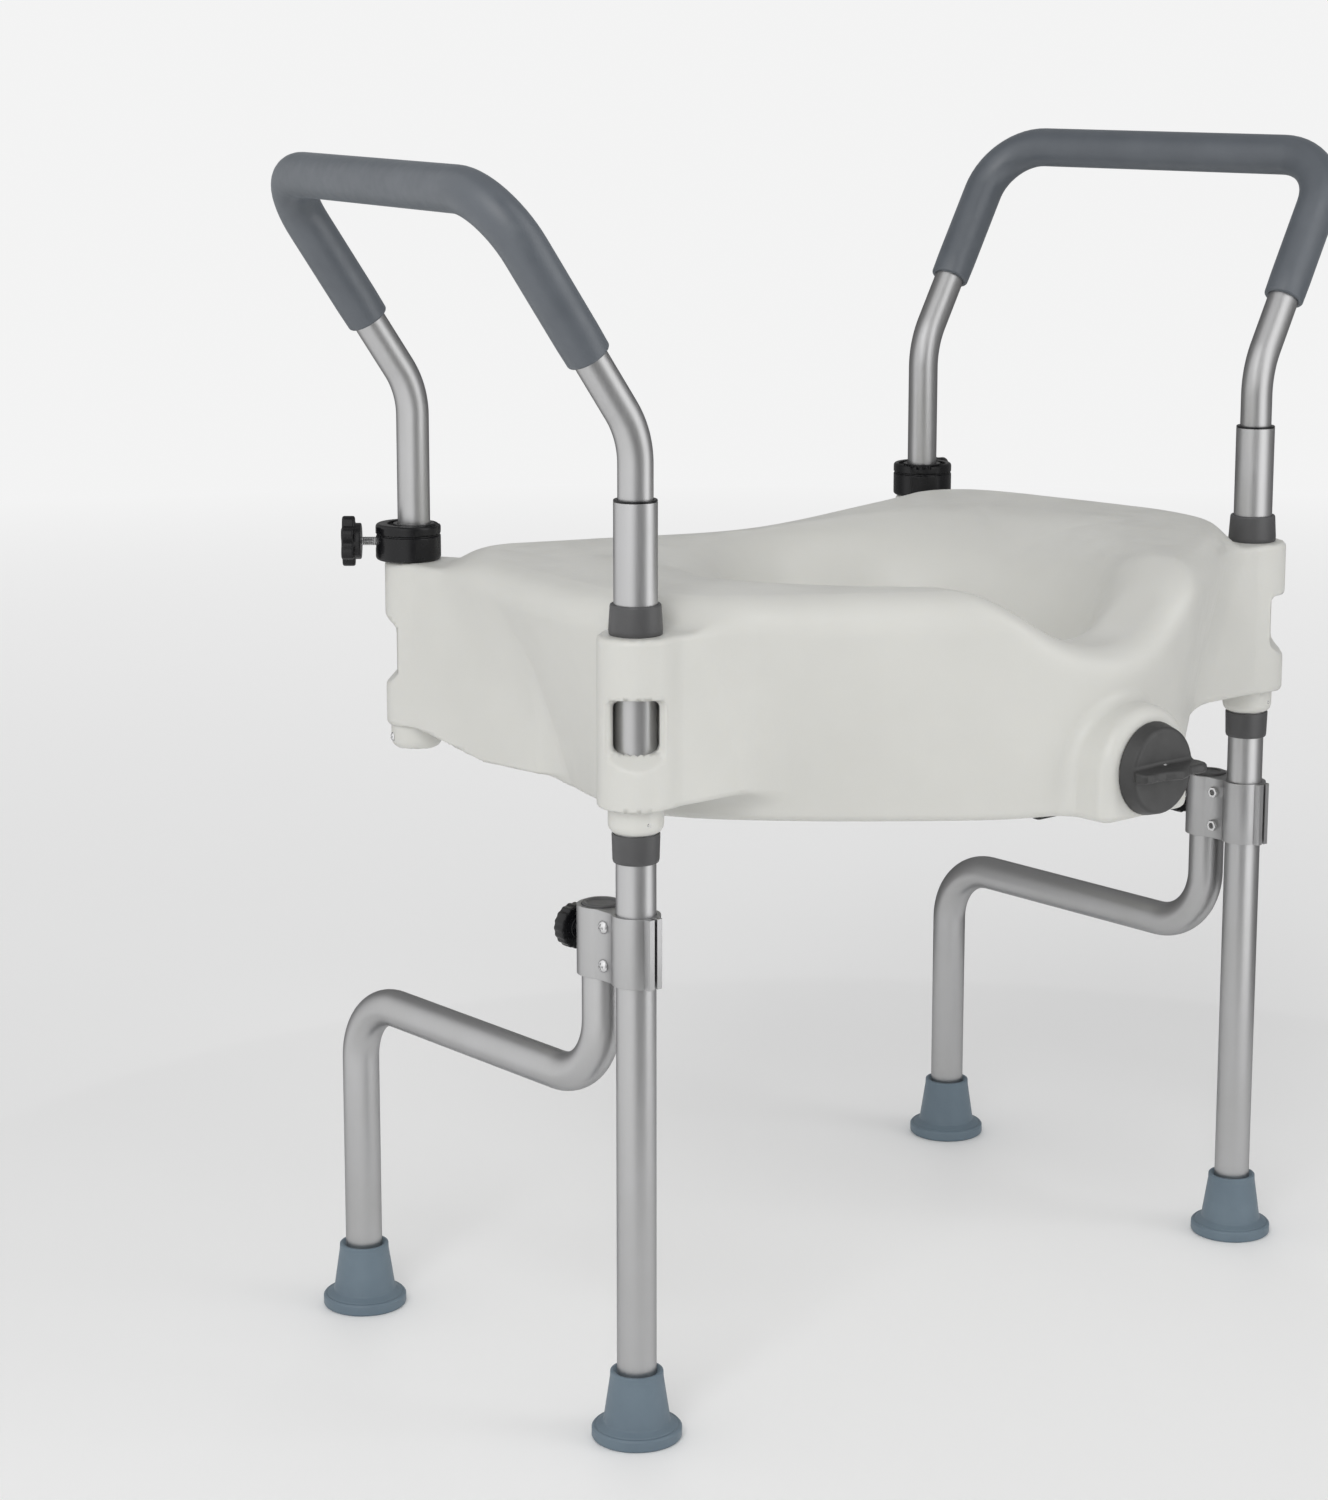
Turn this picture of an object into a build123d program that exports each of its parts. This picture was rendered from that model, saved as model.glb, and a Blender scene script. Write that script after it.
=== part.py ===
from build123d import *
import os
from math import cos, radians, sin

# Raised toilet seat on four legs, with two padded handles.
#
# +Z is up from the floor and -Y is the front of the toilet. X = 0 is the plane of symmetry. The origin
# is on the floor, under the middle of the whole object. Sizes are in millimetres. SIDES gives the sign
# of X for each of a pair of pieces, and points of the plan are given for the left side (-X).

os.makedirs("parts", exist_ok=True)
SIDES = {"left": -1, "right": 1}

# --- Plan of the frame ------------------------------------------------------------------------
FRONT_X, REAR_X = 289.0, 243.0  # posts from the plane of symmetry
FRONT_Y = -71.8
REAR_Y = FRONT_Y + 292.0
SOCKET_Y = FRONT_Y + 34.0  # axis of the socket that holds the rear leg
REAR_FOOT_Y = FRONT_Y + 300.0

# --- Levels above the floor -------------------------------------------------------------------
CROSSBAR_Z = 225.0  # level run of the rear leg
BRACKET_BOTTOM, BRACKET_TOP = 300.0, 345.0
COLLAR_BOTTOM, POST_BOTTOM = 378.5, 383.0
SEAT_BOTTOM, RIM_Z, SEAT_TOP = 392.0, 405.0, 540.0
BOSS_BOTTOM, LUG_STEP = 396.5, 414.0
WINDOW_BOTTOM, WINDOW_TOP = 449.5, 483.0
FRONT_LUG_TOP, REAR_LUG_TOP = 522.0, 528.0
CLAMP_TOP = 553.0
LEG_TOP = 470.0  # inside the post
POST_TOP = 604.0
HANDLE_BEND_Z, HANDLE_TOP_Z = 645.0, 793.0
HANDLE_OUT = 98.0  # how far the top of a handle leans out past its posts
HANDLE_FRONT_END, HANDLE_REAR_END = 530.0, 413.0

# --- Tubes and fits ---------------------------------------------------------------------------
LEG_R, LEG_BORE = 12.7, 11.3
POST_R, POST_BORE = 13.7, 12.8
HANDLE_R, HANDLE_BORE = 11.1, 9.7
GRIP_R = 14.6
GRIP_START = 58.0  # from a handle's lower bend to the end of its grip, along the tube
HANDLE_BEND, HANDLE_CORNER, LEG_BEND = 60.0, 42.0, 45.0
SLIDE_FIT = 0.08  # radial running clearance
SPACE = 0.3  # gap between pieces that move past each other

# --- Seat shell -------------------------------------------------------------------------------
WALL = 3.0
FRONT_LUG_R, REAR_LUG_R, BOSS_R = 22.0, 18.0, 17.5
FRONT_LUG_BORE, REAR_LUG_BORE = POST_R, 13.2
WINDOW_WIDTH, WINDOW_CORNER = 29.0, 5.0
WINDOW_FACING = {"front": (0.63, -0.78), "rear": (0.78, 0.63)}  # out of the lug, on the +X side
BOSS_SCREW_FACING = {"front": (0.2, -1), "rear": (1, 0.3)}
BOSS_SCREW_Z, FRONT_SCREW_R, REAR_SCREW_R = 405.0, 2.0, 1.5
HOLE_Y = FRONT_Y + 52.0
# Left half of the body's outline at its bottom and at its top, from the rear middle round to the front
# middle. Y is measured from the line through the front posts.
BOTTOM_OUTLINE = [
    (0, 240), (-70, 243), (-140, 252), (-186, 262), (-210, 248), (-216, 215), (-222, 165),
    (-238, 115), (-246, 70), (-234, 28), (-196, -18), (-135, -72), (-70, -118), (0, -136),
]
TOP_OUTLINE = [
    (0, 243), (-70, 246), (-140, 254), (-200, 267), (-236, 256), (-259, 226), (-272, 170),
    (-281, 110), (-284, 55), (-268, 2), (-222, -40), (-150, -88), (-80, -126), (0, -142),
]
# Level and inset of each section of the shell, which round its lower and upper edges.
SHELL_SECTIONS = [(392, 7), (394, 3), (399, 0), (516, 0), (528, 3.5), (536, 11), (540, 24)]
HOLLOW_SECTIONS = [(408, 3), (514, 3), (525, 7), (533, 15), (537, 27)]
# Half width and half length of the oval hole and of the dish round it, at each level.
HOLE_SECTIONS = [
    (391, 97, 118), (480, 100, 121), (505, 110, 130), (524, 128, 145), (534, 146, 156), (541, 170, 168),
]
POST_RECESS_R = 27.0  # round each post and clamp, above its lug
TROUGH_HALF_WIDTH, TROUGH_FLOOR = 76.0, 491.0

# --- Front clamp ------------------------------------------------------------------------------
DIAL_Z = 424.0
HOUSING_R, HOUSING_ROUND, HOUSING_Y = 42.0, 8.0, FRONT_Y - 164.0
SPINDLE_R = 5.0
DIAL_R, DIAL_FACE_R, DIAL_THICKNESS = 28.5, 25.5, 11.0
# Front edge of the dial's wing: distance from the axis, and reach in front of the dial's face.
WING_EDGE = [(-30.5, 8), (-24, 12.5), (-12, 12), (0, 17), (12, 12), (24, 12.5), (30.5, 8)]
WING_THICKNESS = 6.0
POCKET_HALF_WIDTH, POCKET_TOP = 32.0, 448.0
POCKET_FRONT, POCKET_REAR = FRONT_Y - 122.0, FRONT_Y - 72.0
JAW_Y, JAW_HALF_WIDTH, JAW_BOTTOM, JAW_TOP, JAW_THICKNESS = FRONT_Y - 88.0, 26.0, 379.0, 440.0, 8.0

# --- Rear clamp -------------------------------------------------------------------------------
CLAMP_R, CLAMP_OFFSET = 22.5, 4.0
KNOB_ANGLE = 39.0  # degrees, from straight out towards the rear
STAR_KNOB_REACH = 36.0
CLAMP_BOLT_R = 3.0

# --- Bracket between the legs --------------------------------------------------------------------
BARREL_R, SOCKET_R, WEB_HALF = 15.6, 15.8, 9.5
SLOT_WIDTH = 2.4
PINCH_Y = FRONT_Y + 17.0
PINCH_LEVELS = (310.0, 335.0)
PINCH_SCREW_R = 2.0
LEG_KNOB_Z, LEG_KNOB_R, LEG_KNOB_REACH = 325.0, 14.5, 20.0

# --- Feet -------------------------------------------------------------------------------------
FOOT_R, FOOT_SOLE, FOOT_HEIGHT = 29.0, 8.0, 45.0


def save(piece, name):
    piece.part.label = name
    export_step(piece.part, f"parts/{name}.step")


def upright(x, y, z):
    """The level plane at a point."""
    return Plane((x, y, z))


def straight_tube(x, y, bottom, top, radius, bore):
    with BuildPart() as tube:
        with BuildSketch(upright(x, y, bottom)):
            Circle(radius)
            Circle(bore, mode=Mode.SUBTRACT)
        extrude(amount=top - bottom)
    return tube


def boss_screw_axis(end, side):
    """The plane across the axis of the screw in a lug's lower boss, at the post's axis."""
    x, y = (FRONT_X, FRONT_Y) if end == "front" else (REAR_X, REAR_Y)
    out_x, out_y = BOSS_SCREW_FACING[end]
    return Plane((side * x, y, BOSS_SCREW_Z), z_dir=(side * out_x, out_y, 0))


def turned(x, y, profile):
    """A piece of revolution about the upright axis at x, y. The profile is (radius, level) points."""
    with BuildPart() as piece:
        with BuildSketch(Plane((x, y, 0), x_dir=(1, 0, 0), z_dir=(0, -1, 0))):
            with BuildLine():
                Polyline(*profile, close=True)
            make_face()
        revolve(axis=Axis((x, y, 0), (0, 0, 1)))
    return piece


def swept_tube(path, plane, radius, bore):
    with BuildPart() as tube:
        with BuildSketch(plane):
            Circle(radius)
            Circle(bore, mode=Mode.SUBTRACT)
        sweep(path=path)
    return tube


def bolt(plane, radius, length):
    """A plain rod from its tip at the plane, with a chamfered tip."""
    with BuildPart() as rod:
        with BuildSketch(plane):
            Circle(radius)
        extrude(amount=length)
        chamfer(rod.faces().sort_by(Axis(plane.origin, plane.z_dir))[0].edges(), 0.6)
    return rod


def pan_head_screw(plane, radius, head_radius, head_height, shank):
    """A screw whose head stands on the plane and whose shank goes back from it."""
    with BuildPart() as screw:
        with BuildSketch(plane):
            Circle(radius)
        extrude(amount=-shank)
        with BuildSketch(plane):
            Circle(head_radius)
        extrude(amount=head_height)
        fillet(screw.faces().sort_by(Axis(plane.origin, plane.z_dir))[-1].edges(), head_height / 2)
        with BuildSketch(plane.offset(head_height)):
            Rectangle(head_radius, head_radius / 5)
            Rectangle(head_radius / 5, head_radius)
        extrude(amount=-head_height / 2, mode=Mode.SUBTRACT)
    return screw


# --- Legs -------------------------------------------------------------------------------------
def foot(x, y):
    """Rubber tip: a wide hollow-ground sole and a tapered cup with a beaded mouth."""
    return turned(x, y, [
        (0, FOOT_SOLE), (0, 3), (16, 3), (17, 0), (FOOT_R - 1.5, 0), (FOOT_R, 1.5), (FOOT_R, 7),
        (FOOT_R - 2.5, 9.5), (21.3, 11), (16.9, FOOT_HEIGHT - 5), (17.6, FOOT_HEIGHT - 4),
        (17.4, FOOT_HEIGHT - 1), (16, FOOT_HEIGHT), (LEG_R, FOOT_HEIGHT), (LEG_R, FOOT_SOLE),
    ])


def rear_leg(side):
    """Upright stub in the bracket's socket, level run to the rear, and an upright down to the foot."""
    x = side * FRONT_X
    path = FilletPolyline(
        (x, SOCKET_Y, BRACKET_TOP - 1), (x, SOCKET_Y, CROSSBAR_Z), (x, REAR_FOOT_Y, CROSSBAR_Z),
        (x, REAR_FOOT_Y, FOOT_SOLE), radius=LEG_BEND,
    )
    start = Plane((x, SOCKET_Y, BRACKET_TOP - 1), z_dir=(0, 0, -1))
    return swept_tube(path, start, LEG_R, LEG_BORE)


def rear_leg_plug(side):
    """Cap in the top end of the rear leg."""
    top = BRACKET_TOP - 1
    return turned(side * FRONT_X, SOCKET_Y, [
        (0, top - 12), (LEG_BORE, top - 12), (LEG_BORE, top), (LEG_R, top), (LEG_R, top + 1.5),
        (LEG_R - 1, top + 2.5), (9, top + 2.5), (8, top + 1.5), (0, top + 1.5),
    ])


def leg_bracket(side):
    """Extruded bracket: a split barrel on the front leg, a web, and the rear leg's socket."""
    x = side * FRONT_X
    with BuildPart() as bracket:
        with BuildSketch(Plane.XY.offset(BRACKET_BOTTOM)):
            with Locations((x, FRONT_Y)):
                Circle(BARREL_R)
            with Locations((x, SOCKET_Y)):
                Circle(SOCKET_R)
            with Locations((x, PINCH_Y)):
                Rectangle(2 * WEB_HALF, SOCKET_Y - FRONT_Y)
            with Locations((x, FRONT_Y - BARREL_R + 2)):
                Rectangle(12, 8)
            with Locations((x, FRONT_Y)):
                Circle(LEG_R, mode=Mode.SUBTRACT)
            with Locations((x, SOCKET_Y)):
                Circle(LEG_R + SLIDE_FIT, mode=Mode.SUBTRACT)
            with Locations((x, FRONT_Y - BARREL_R)):
                Rectangle(SLOT_WIDTH, 9, mode=Mode.SUBTRACT)
        extrude(amount=BRACKET_TOP - BRACKET_BOTTOM)
        with BuildSketch(Plane((x + side * WEB_HALF, 0, 0), x_dir=(0, 1, 0), z_dir=(1, 0, 0))):
            with Locations(*((PINCH_Y, level) for level in PINCH_LEVELS)):
                Circle(PINCH_SCREW_R)
        extrude(amount=2 * WEB_HALF, both=True, mode=Mode.SUBTRACT)
        with BuildSketch(Plane((x, SOCKET_Y + LEG_R - 2, LEG_KNOB_Z), z_dir=(0, 1, 0))):
            Circle(CLAMP_BOLT_R + SLIDE_FIT)
        extrude(amount=SOCKET_R, mode=Mode.SUBTRACT)
    return bracket


def bracket_screws(side):
    """Two screws across the web, with their heads on the outer side."""
    with BuildPart() as screws:
        for level in PINCH_LEVELS:
            outside = Plane((side * (FRONT_X + WEB_HALF), PINCH_Y, level), z_dir=(side, 0, 0))
            add(pan_head_screw(outside, PINCH_SCREW_R, 4.4, 3, 2 * WEB_HALF + 5).part)
    return screws


def bracket_nuts(side):
    """A nut on the inner end of each screw."""
    with BuildPart() as nuts:
        for level in PINCH_LEVELS:
            with BuildSketch(Plane((side * (FRONT_X - WEB_HALF), PINCH_Y, level), z_dir=(-side, 0, 0))):
                RegularPolygon(4.2, 6)
                Circle(PINCH_SCREW_R, mode=Mode.SUBTRACT)
            extrude(amount=3.2)
    return nuts


def leg_knob(side):
    """Round ribbed knob behind the socket, on the end of its bolt."""
    near = Plane((side * FRONT_X, SOCKET_Y + LEG_KNOB_REACH, LEG_KNOB_Z), z_dir=(0, 1, 0))
    with BuildPart() as knob:
        with BuildSketch(near):
            Circle(8)
        extrude(amount=2)
        with BuildSketch(near.offset(2)):
            Circle(LEG_KNOB_R)
            with PolarLocations(LEG_KNOB_R, 18):
                Circle(1, mode=Mode.SUBTRACT)
        extrude(amount=9)
        with BuildSketch(near):
            Circle(CLAMP_BOLT_R)
        extrude(amount=8, mode=Mode.SUBTRACT)
    return knob


def leg_knob_bolt(side):
    tip = SOCKET_Y + LEG_R + SPACE
    return bolt(
        Plane((side * FRONT_X, tip, LEG_KNOB_Z), z_dir=(0, 1, 0)), CLAMP_BOLT_R,
        SOCKET_Y + LEG_KNOB_REACH + 8 - tip,
    )


# --- Front posts --------------------------------------------------------------------------------
def post_bush(side):
    """Lipped plastic bush in the top of the post, which guides the handle."""
    bore = HANDLE_R + SLIDE_FIT
    return turned(side * FRONT_X, FRONT_Y, [
        (bore, POST_TOP - 30), (POST_BORE, POST_TOP - 30), (POST_BORE, POST_TOP), (POST_R, POST_TOP),
        (POST_R - 0.2, POST_TOP + 1.2), (bore, POST_TOP + 1.2),
    ])


def front_post(side):
    """Tube through the front lug, with a hole for the screw that locks the leg."""
    with BuildPart() as post:
        with BuildSketch(upright(side * FRONT_X, FRONT_Y, POST_BOTTOM)):
            Circle(POST_R)
            Circle(POST_BORE, mode=Mode.SUBTRACT)
        extrude(amount=POST_TOP - POST_BOTTOM)
        with BuildSketch(boss_screw_axis("front", side)):
            Circle(FRONT_SCREW_R)
        extrude(amount=POST_R + 1, mode=Mode.SUBTRACT)
    return post


def upper_collar(side):
    """Flared plastic ring where the post leaves the top of its lug."""
    top = FRONT_LUG_TOP + 19
    return turned(side * FRONT_X, FRONT_Y, [
        (POST_R, FRONT_LUG_TOP), (16.4, FRONT_LUG_TOP), (16.7, FRONT_LUG_TOP + 2), (15.9, top - 1),
        (15.2, top), (POST_R, top),
    ])


def lower_collar(side):
    """Plastic bush round the lower end of the post, where the leg slides out of it."""
    bore = LEG_R + SLIDE_FIT
    return turned(side * FRONT_X, FRONT_Y, [
        (bore, COLLAR_BOTTOM), (14.0, COLLAR_BOTTOM), (14.7, COLLAR_BOTTOM + 1.5), (15.1, BOSS_BOTTOM),
        (POST_R, BOSS_BOTTOM), (POST_R, POST_BOTTOM), (bore, POST_BOTTOM),
    ])


def leg_lock_screw(side):
    """Screw through the boss and the post. Its tip stops just short of the leg."""
    tip = LEG_R + SPACE
    return bolt(boss_screw_axis("front", side).offset(tip), FRONT_SCREW_R, BOSS_R - tip)


# --- Rear clamps --------------------------------------------------------------------------------
def knob_axis(side, distance):
    """The plane across a star knob's axis, at a distance from the rear post's axis."""
    out_x, out_y = side * cos(radians(KNOB_ANGLE)), sin(radians(KNOB_ANGLE))
    level = (REAR_LUG_TOP + CLAMP_TOP) / 2
    place = (side * REAR_X + distance * out_x, REAR_Y + distance * out_y, level)
    return Plane(place, z_dir=(out_x, out_y, 0))


def rear_clamp(side):
    """Eccentric ring on the rear lug, with a spigot down into it. The thick side takes the bolt."""
    centre = knob_axis(side, CLAMP_OFFSET).origin
    with BuildPart() as clamp:
        with BuildSketch(upright(centre.X, centre.Y, REAR_LUG_TOP)):
            Circle(CLAMP_R)
        extrude(amount=CLAMP_TOP - REAR_LUG_TOP)
        chamfer(clamp.edges(), 1.2)
        with BuildSketch(upright(side * REAR_X, REAR_Y, CLAMP_TOP)):
            Circle(17.5)
            Circle(14.5, mode=Mode.SUBTRACT)
        extrude(amount=-2, mode=Mode.SUBTRACT)
        with BuildSketch(upright(side * REAR_X, REAR_Y, WINDOW_TOP + 5)):
            Circle(REAR_LUG_BORE)
        extrude(amount=REAR_LUG_TOP - WINDOW_TOP)
        with BuildSketch(upright(side * REAR_X, REAR_Y, WINDOW_TOP)):
            Circle(HANDLE_R + SLIDE_FIT)
        extrude(amount=CLAMP_TOP - WINDOW_TOP, mode=Mode.SUBTRACT)
        with BuildSketch(knob_axis(side, 0)):
            Circle(CLAMP_BOLT_R + SLIDE_FIT)
        extrude(amount=2 * CLAMP_R, mode=Mode.SUBTRACT)
    return clamp


def rear_guide(side):
    """Plastic bush in the lower half of the rear lug, round the end of the handle."""
    with BuildPart() as guide:
        with BuildSketch(upright(side * REAR_X, REAR_Y, BOSS_BOTTOM + 3)):
            Circle(REAR_LUG_BORE)
            Circle(HANDLE_R + SLIDE_FIT, mode=Mode.SUBTRACT)
        extrude(amount=WINDOW_BOTTOM - BOSS_BOTTOM - 7)
        with BuildSketch(boss_screw_axis("rear", side).offset(HANDLE_R + 1)):
            Circle(REAR_SCREW_R)
        extrude(amount=BOSS_R, mode=Mode.SUBTRACT)
    return guide


def rear_guide_screw(side):
    """Screw through the boss into the guide."""
    head = boss_screw_axis("rear", side).offset(BOSS_R)
    return pan_head_screw(head, REAR_SCREW_R, 3, 1.6, BOSS_R - HANDLE_R - 1)


def star_knob(side):
    """Six-lobed knob: a flange towards the clamp, then the lobes."""
    near = knob_axis(side, STAR_KNOB_REACH)
    with BuildPart() as knob:
        with BuildSketch(near):
            Circle(12.5)
        extrude(amount=4)
        with BuildSketch(near.offset(4)):
            Circle(13.5)
            with PolarLocations(12.7, 6):
                Circle(4.8)
        extrude(amount=9)
        chamfer(knob.faces().sort_by(Axis(near.origin, near.z_dir))[-1].edges(), 0.8)
        with BuildSketch(near):
            Circle(CLAMP_BOLT_R)
        extrude(amount=10, mode=Mode.SUBTRACT)
    return knob


def star_knob_bolt(side):
    tip = HANDLE_R + SPACE
    return bolt(knob_axis(side, tip), CLAMP_BOLT_R, STAR_KNOB_REACH + 10 - tip)


# --- Handles ----------------------------------------------------------------------------------
def handle_corners(side):
    """The handle's bends, front to rear. Above the lower two it leans out, square to its posts."""
    front = Vector(side * FRONT_X, FRONT_Y, HANDLE_BEND_Z)
    rear = Vector(side * REAR_X, REAR_Y, HANDLE_BEND_Z)
    along = (rear - front).normalized()
    rise = Vector(side * along.Y, -side * along.X, 0) * HANDLE_OUT
    rise += Vector(0, 0, HANDLE_TOP_Z - HANDLE_BEND_Z)
    return front, front + rise, rear + rise, rear


def handle_tube(side):
    """One tube: up out of the front post, out, along the top, in, and down through the rear clamp."""
    front, front_top, rear_top, rear = handle_corners(side)
    start = Vector(front.X, front.Y, HANDLE_FRONT_END)
    path = FilletPolyline(
        start, front, front_top, rear_top, rear, Vector(rear.X, rear.Y, HANDLE_REAR_END),
        radius=[HANDLE_BEND, HANDLE_CORNER, HANDLE_CORNER, HANDLE_BEND],
    )
    return swept_tube(path, Plane(start), HANDLE_R, HANDLE_BORE)


def handle_grip(side):
    """Foam sleeve over the top of the handle."""
    front, front_top, rear_top, rear = handle_corners(side)
    rise = (front_top - front).normalized()
    start = front + rise * GRIP_START
    path = FilletPolyline(start, front_top, rear_top, rear + rise * GRIP_START, radius=HANDLE_CORNER)
    return swept_tube(path, Plane(start, z_dir=rise), GRIP_R, HANDLE_R)


# --- Seat shell -------------------------------------------------------------------------------
def outline_points(level, inset):
    """Half of the body's outline at a level, moved in square to itself by the inset."""
    share = min(max((level - SEAT_BOTTOM) / (SEAT_TOP - SEAT_BOTTOM), 0), 1)
    points = [
        Vector(low[0] + (high[0] - low[0]) * share, FRONT_Y + low[1] + (high[1] - low[1]) * share)
        for low, high in zip(BOTTOM_OUTLINE, TOP_OUTLINE)
    ]
    moved = []
    for index, point in enumerate(points):
        before, after = points[max(index - 1, 0)], points[min(index + 1, len(points) - 1)]
        along = (after - before).normalized()
        if point.X == 0:
            along = Vector(-1 if index == 0 else 1, 0)
        moved.append(point + Vector(-along.Y, along.X) * inset)
    return moved


def outline_loft(sections):
    """A body through sections of the outline, each given as a level and an inset."""
    with BuildPart() as body:
        for level, inset in sections:
            with BuildSketch(Plane.XY.offset(level)):
                with BuildLine():
                    Spline(*outline_points(level, inset), tangents=((-1, 0), (1, 0)))
                    mirror(about=Plane.YZ)
                make_face()
        loft(ruled=True)
    return body


def bowl_hole(grow):
    """The oval hole and the dish round it, made larger all round by grow."""
    with BuildPart() as hole:
        for level, half_width, half_length in HOLE_SECTIONS:
            with BuildSketch(upright(0, HOLE_Y, level)):
                Ellipse(half_width + grow, half_length + grow)
        loft(ruled=True)
    return hole


def front_trough(grow):
    """The round-bottomed dip across the front of the ring, made larger by grow."""
    depth = SEAT_TOP - TROUGH_FLOOR
    radius = (TROUGH_HALF_WIDTH**2 + depth**2) / (2 * depth)
    with BuildPart() as trough:
        with BuildSketch(Plane((0, HOLE_Y, TROUGH_FLOOR + radius), z_dir=(0, -1, 0))):
            Circle(radius + grow)
        extrude(amount=HOLE_Y - HOUSING_Y + 10)
    return trough


def clamp_pocket(grow):
    """The pocket under the front of the ring for the spindle and jaw, made larger by grow."""
    with BuildPart() as pocket:
        with BuildSketch(upright(0, (POCKET_FRONT + POCKET_REAR) / 2, SEAT_BOTTOM - 1)):
            Rectangle(2 * (POCKET_HALF_WIDTH + grow), POCKET_REAR - POCKET_FRONT + 2 * grow)
        extrude(amount=POCKET_TOP - SEAT_BOTTOM + 1 + grow)
    return pocket


def seat_lugs():
    """Four lugs with their webs and lower bosses. The webs start inside the body."""
    with BuildPart() as lugs:
        for side in SIDES.values():
            for x, y, radius, top, inner in (
                (FRONT_X, FRONT_Y, FRONT_LUG_R, FRONT_LUG_TOP, ((200, -27, 20), (246, 46, 14))),
                (REAR_X, REAR_Y, REAR_LUG_R, REAR_LUG_TOP, ((206, 240, 16), (222, 222, 16))),
            ):
                with BuildSketch(Plane.XY.offset(LUG_STEP)):
                    with Locations((side * x, y)):
                        Circle(radius)
                    for inner_x, inner_y, inner_radius in inner:
                        with Locations((side * inner_x, FRONT_Y + inner_y)):
                            Circle(inner_radius)
                    make_hull()
                extrude(amount=top - LUG_STEP)
                with BuildSketch(upright(side * x, y, BOSS_BOTTOM)):
                    Circle(BOSS_R)
                extrude(amount=LUG_STEP - BOSS_BOTTOM)
    return lugs


def post_recesses(grow):
    """The round recesses in the shoulder of the body above each lug, made larger by grow."""
    with BuildPart() as recesses:
        for side in SIDES.values():
            for x, y, level in ((FRONT_X, FRONT_Y, FRONT_LUG_TOP), (REAR_X, REAR_Y, REAR_LUG_TOP)):
                with BuildSketch(upright(side * x, y, level - grow)):
                    Circle(POST_RECESS_R + grow)
                extrude(amount=SEAT_TOP + 1 - level + grow)
    return recesses


def lug_cuts():
    """The lugs' bores and windows, and the holes for the screws in their bosses."""
    with BuildPart() as cuts:
        for side in SIDES.values():
            for end, x, y, bore, screw_radius in (
                ("front", FRONT_X, FRONT_Y, FRONT_LUG_BORE, FRONT_SCREW_R),
                ("rear", REAR_X, REAR_Y, REAR_LUG_BORE, REAR_SCREW_R),
            ):
                with BuildSketch(upright(side * x, y, BOSS_BOTTOM - 1)):
                    Circle(bore)
                extrude(amount=SEAT_TOP - BOSS_BOTTOM + 1)
                out_x, out_y = WINDOW_FACING[end]
                level = (WINDOW_BOTTOM + WINDOW_TOP) / 2
                middle = Plane((side * x, y, level), z_dir=(side * out_x, out_y, 0))
                with BuildSketch(middle):
                    RectangleRounded(WINDOW_TOP - WINDOW_BOTTOM, WINDOW_WIDTH, WINDOW_CORNER)
                extrude(amount=2 * FRONT_LUG_R)
                with BuildSketch(boss_screw_axis(end, side)):
                    Circle(screw_radius)
                extrude(amount=FRONT_LUG_R)
    return cuts


def clamp_housing():
    """The arched boss on the front wall that carries the dial."""
    with BuildPart() as housing:
        with BuildSketch(Plane((0, HOUSING_Y, DIAL_Z), x_dir=(1, 0, 0), z_dir=(0, -1, 0))):
            Circle(HOUSING_R)
            with Locations((0, -(DIAL_Z - SEAT_BOTTOM) / 2)):
                Rectangle(2 * HOUSING_R, DIAL_Z - SEAT_BOTTOM)
            with Locations((0, -(DIAL_Z - SEAT_BOTTOM) - HOUSING_R)):
                Rectangle(2 * HOUSING_R, 2 * HOUSING_R, mode=Mode.SUBTRACT)
        extrude(amount=-36)
        fillet(housing.faces().sort_by(Axis.Y)[0].edges(), HOUSING_ROUND)
    return housing


def seat_shell():
    """Blow-moulded shell, closed round its hollow, with a recess below that fits over the bowl's rim."""
    hollow = outline_loft(HOLLOW_SECTIONS).part
    for keep_clear in (bowl_hole(WALL), front_trough(WALL), clamp_pocket(WALL), post_recesses(WALL)):
        hollow -= keep_clear.part
    with BuildPart() as shell:
        add(outline_loft(SHELL_SECTIONS).part)
        add(post_recesses(0).part, mode=Mode.SUBTRACT)
        add(seat_lugs().part)
        add(clamp_housing().part)
        add(hollow, mode=Mode.SUBTRACT)
        recess = outline_loft([(SEAT_BOTTOM - 1, 14), (RIM_Z, 14)])
        for cut in (bowl_hole(0), front_trough(0), recess, clamp_pocket(0), lug_cuts()):
            add(cut.part, mode=Mode.SUBTRACT)
        with BuildSketch(Plane((0, HOUSING_Y - 1, DIAL_Z), z_dir=(0, 1, 0))):
            Circle(SPINDLE_R + SLIDE_FIT)
        extrude(amount=POCKET_FRONT - HOUSING_Y + 2, mode=Mode.SUBTRACT)
    return shell


def rim_pads():
    """Four rubber pads under the ring, where it rests on the bowl."""
    with BuildPart() as pads:
        for x, y, turn in ((-125, 130, 80), (125, 130, -80), (-130, -20, -60), (130, -20, 60)):
            with BuildSketch(Plane((x, HOLE_Y + y - 40, RIM_Z)).rotated((0, 0, turn))):
                RectangleRounded(50, 16, 4)
            extrude(amount=-3)
    return pads


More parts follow.
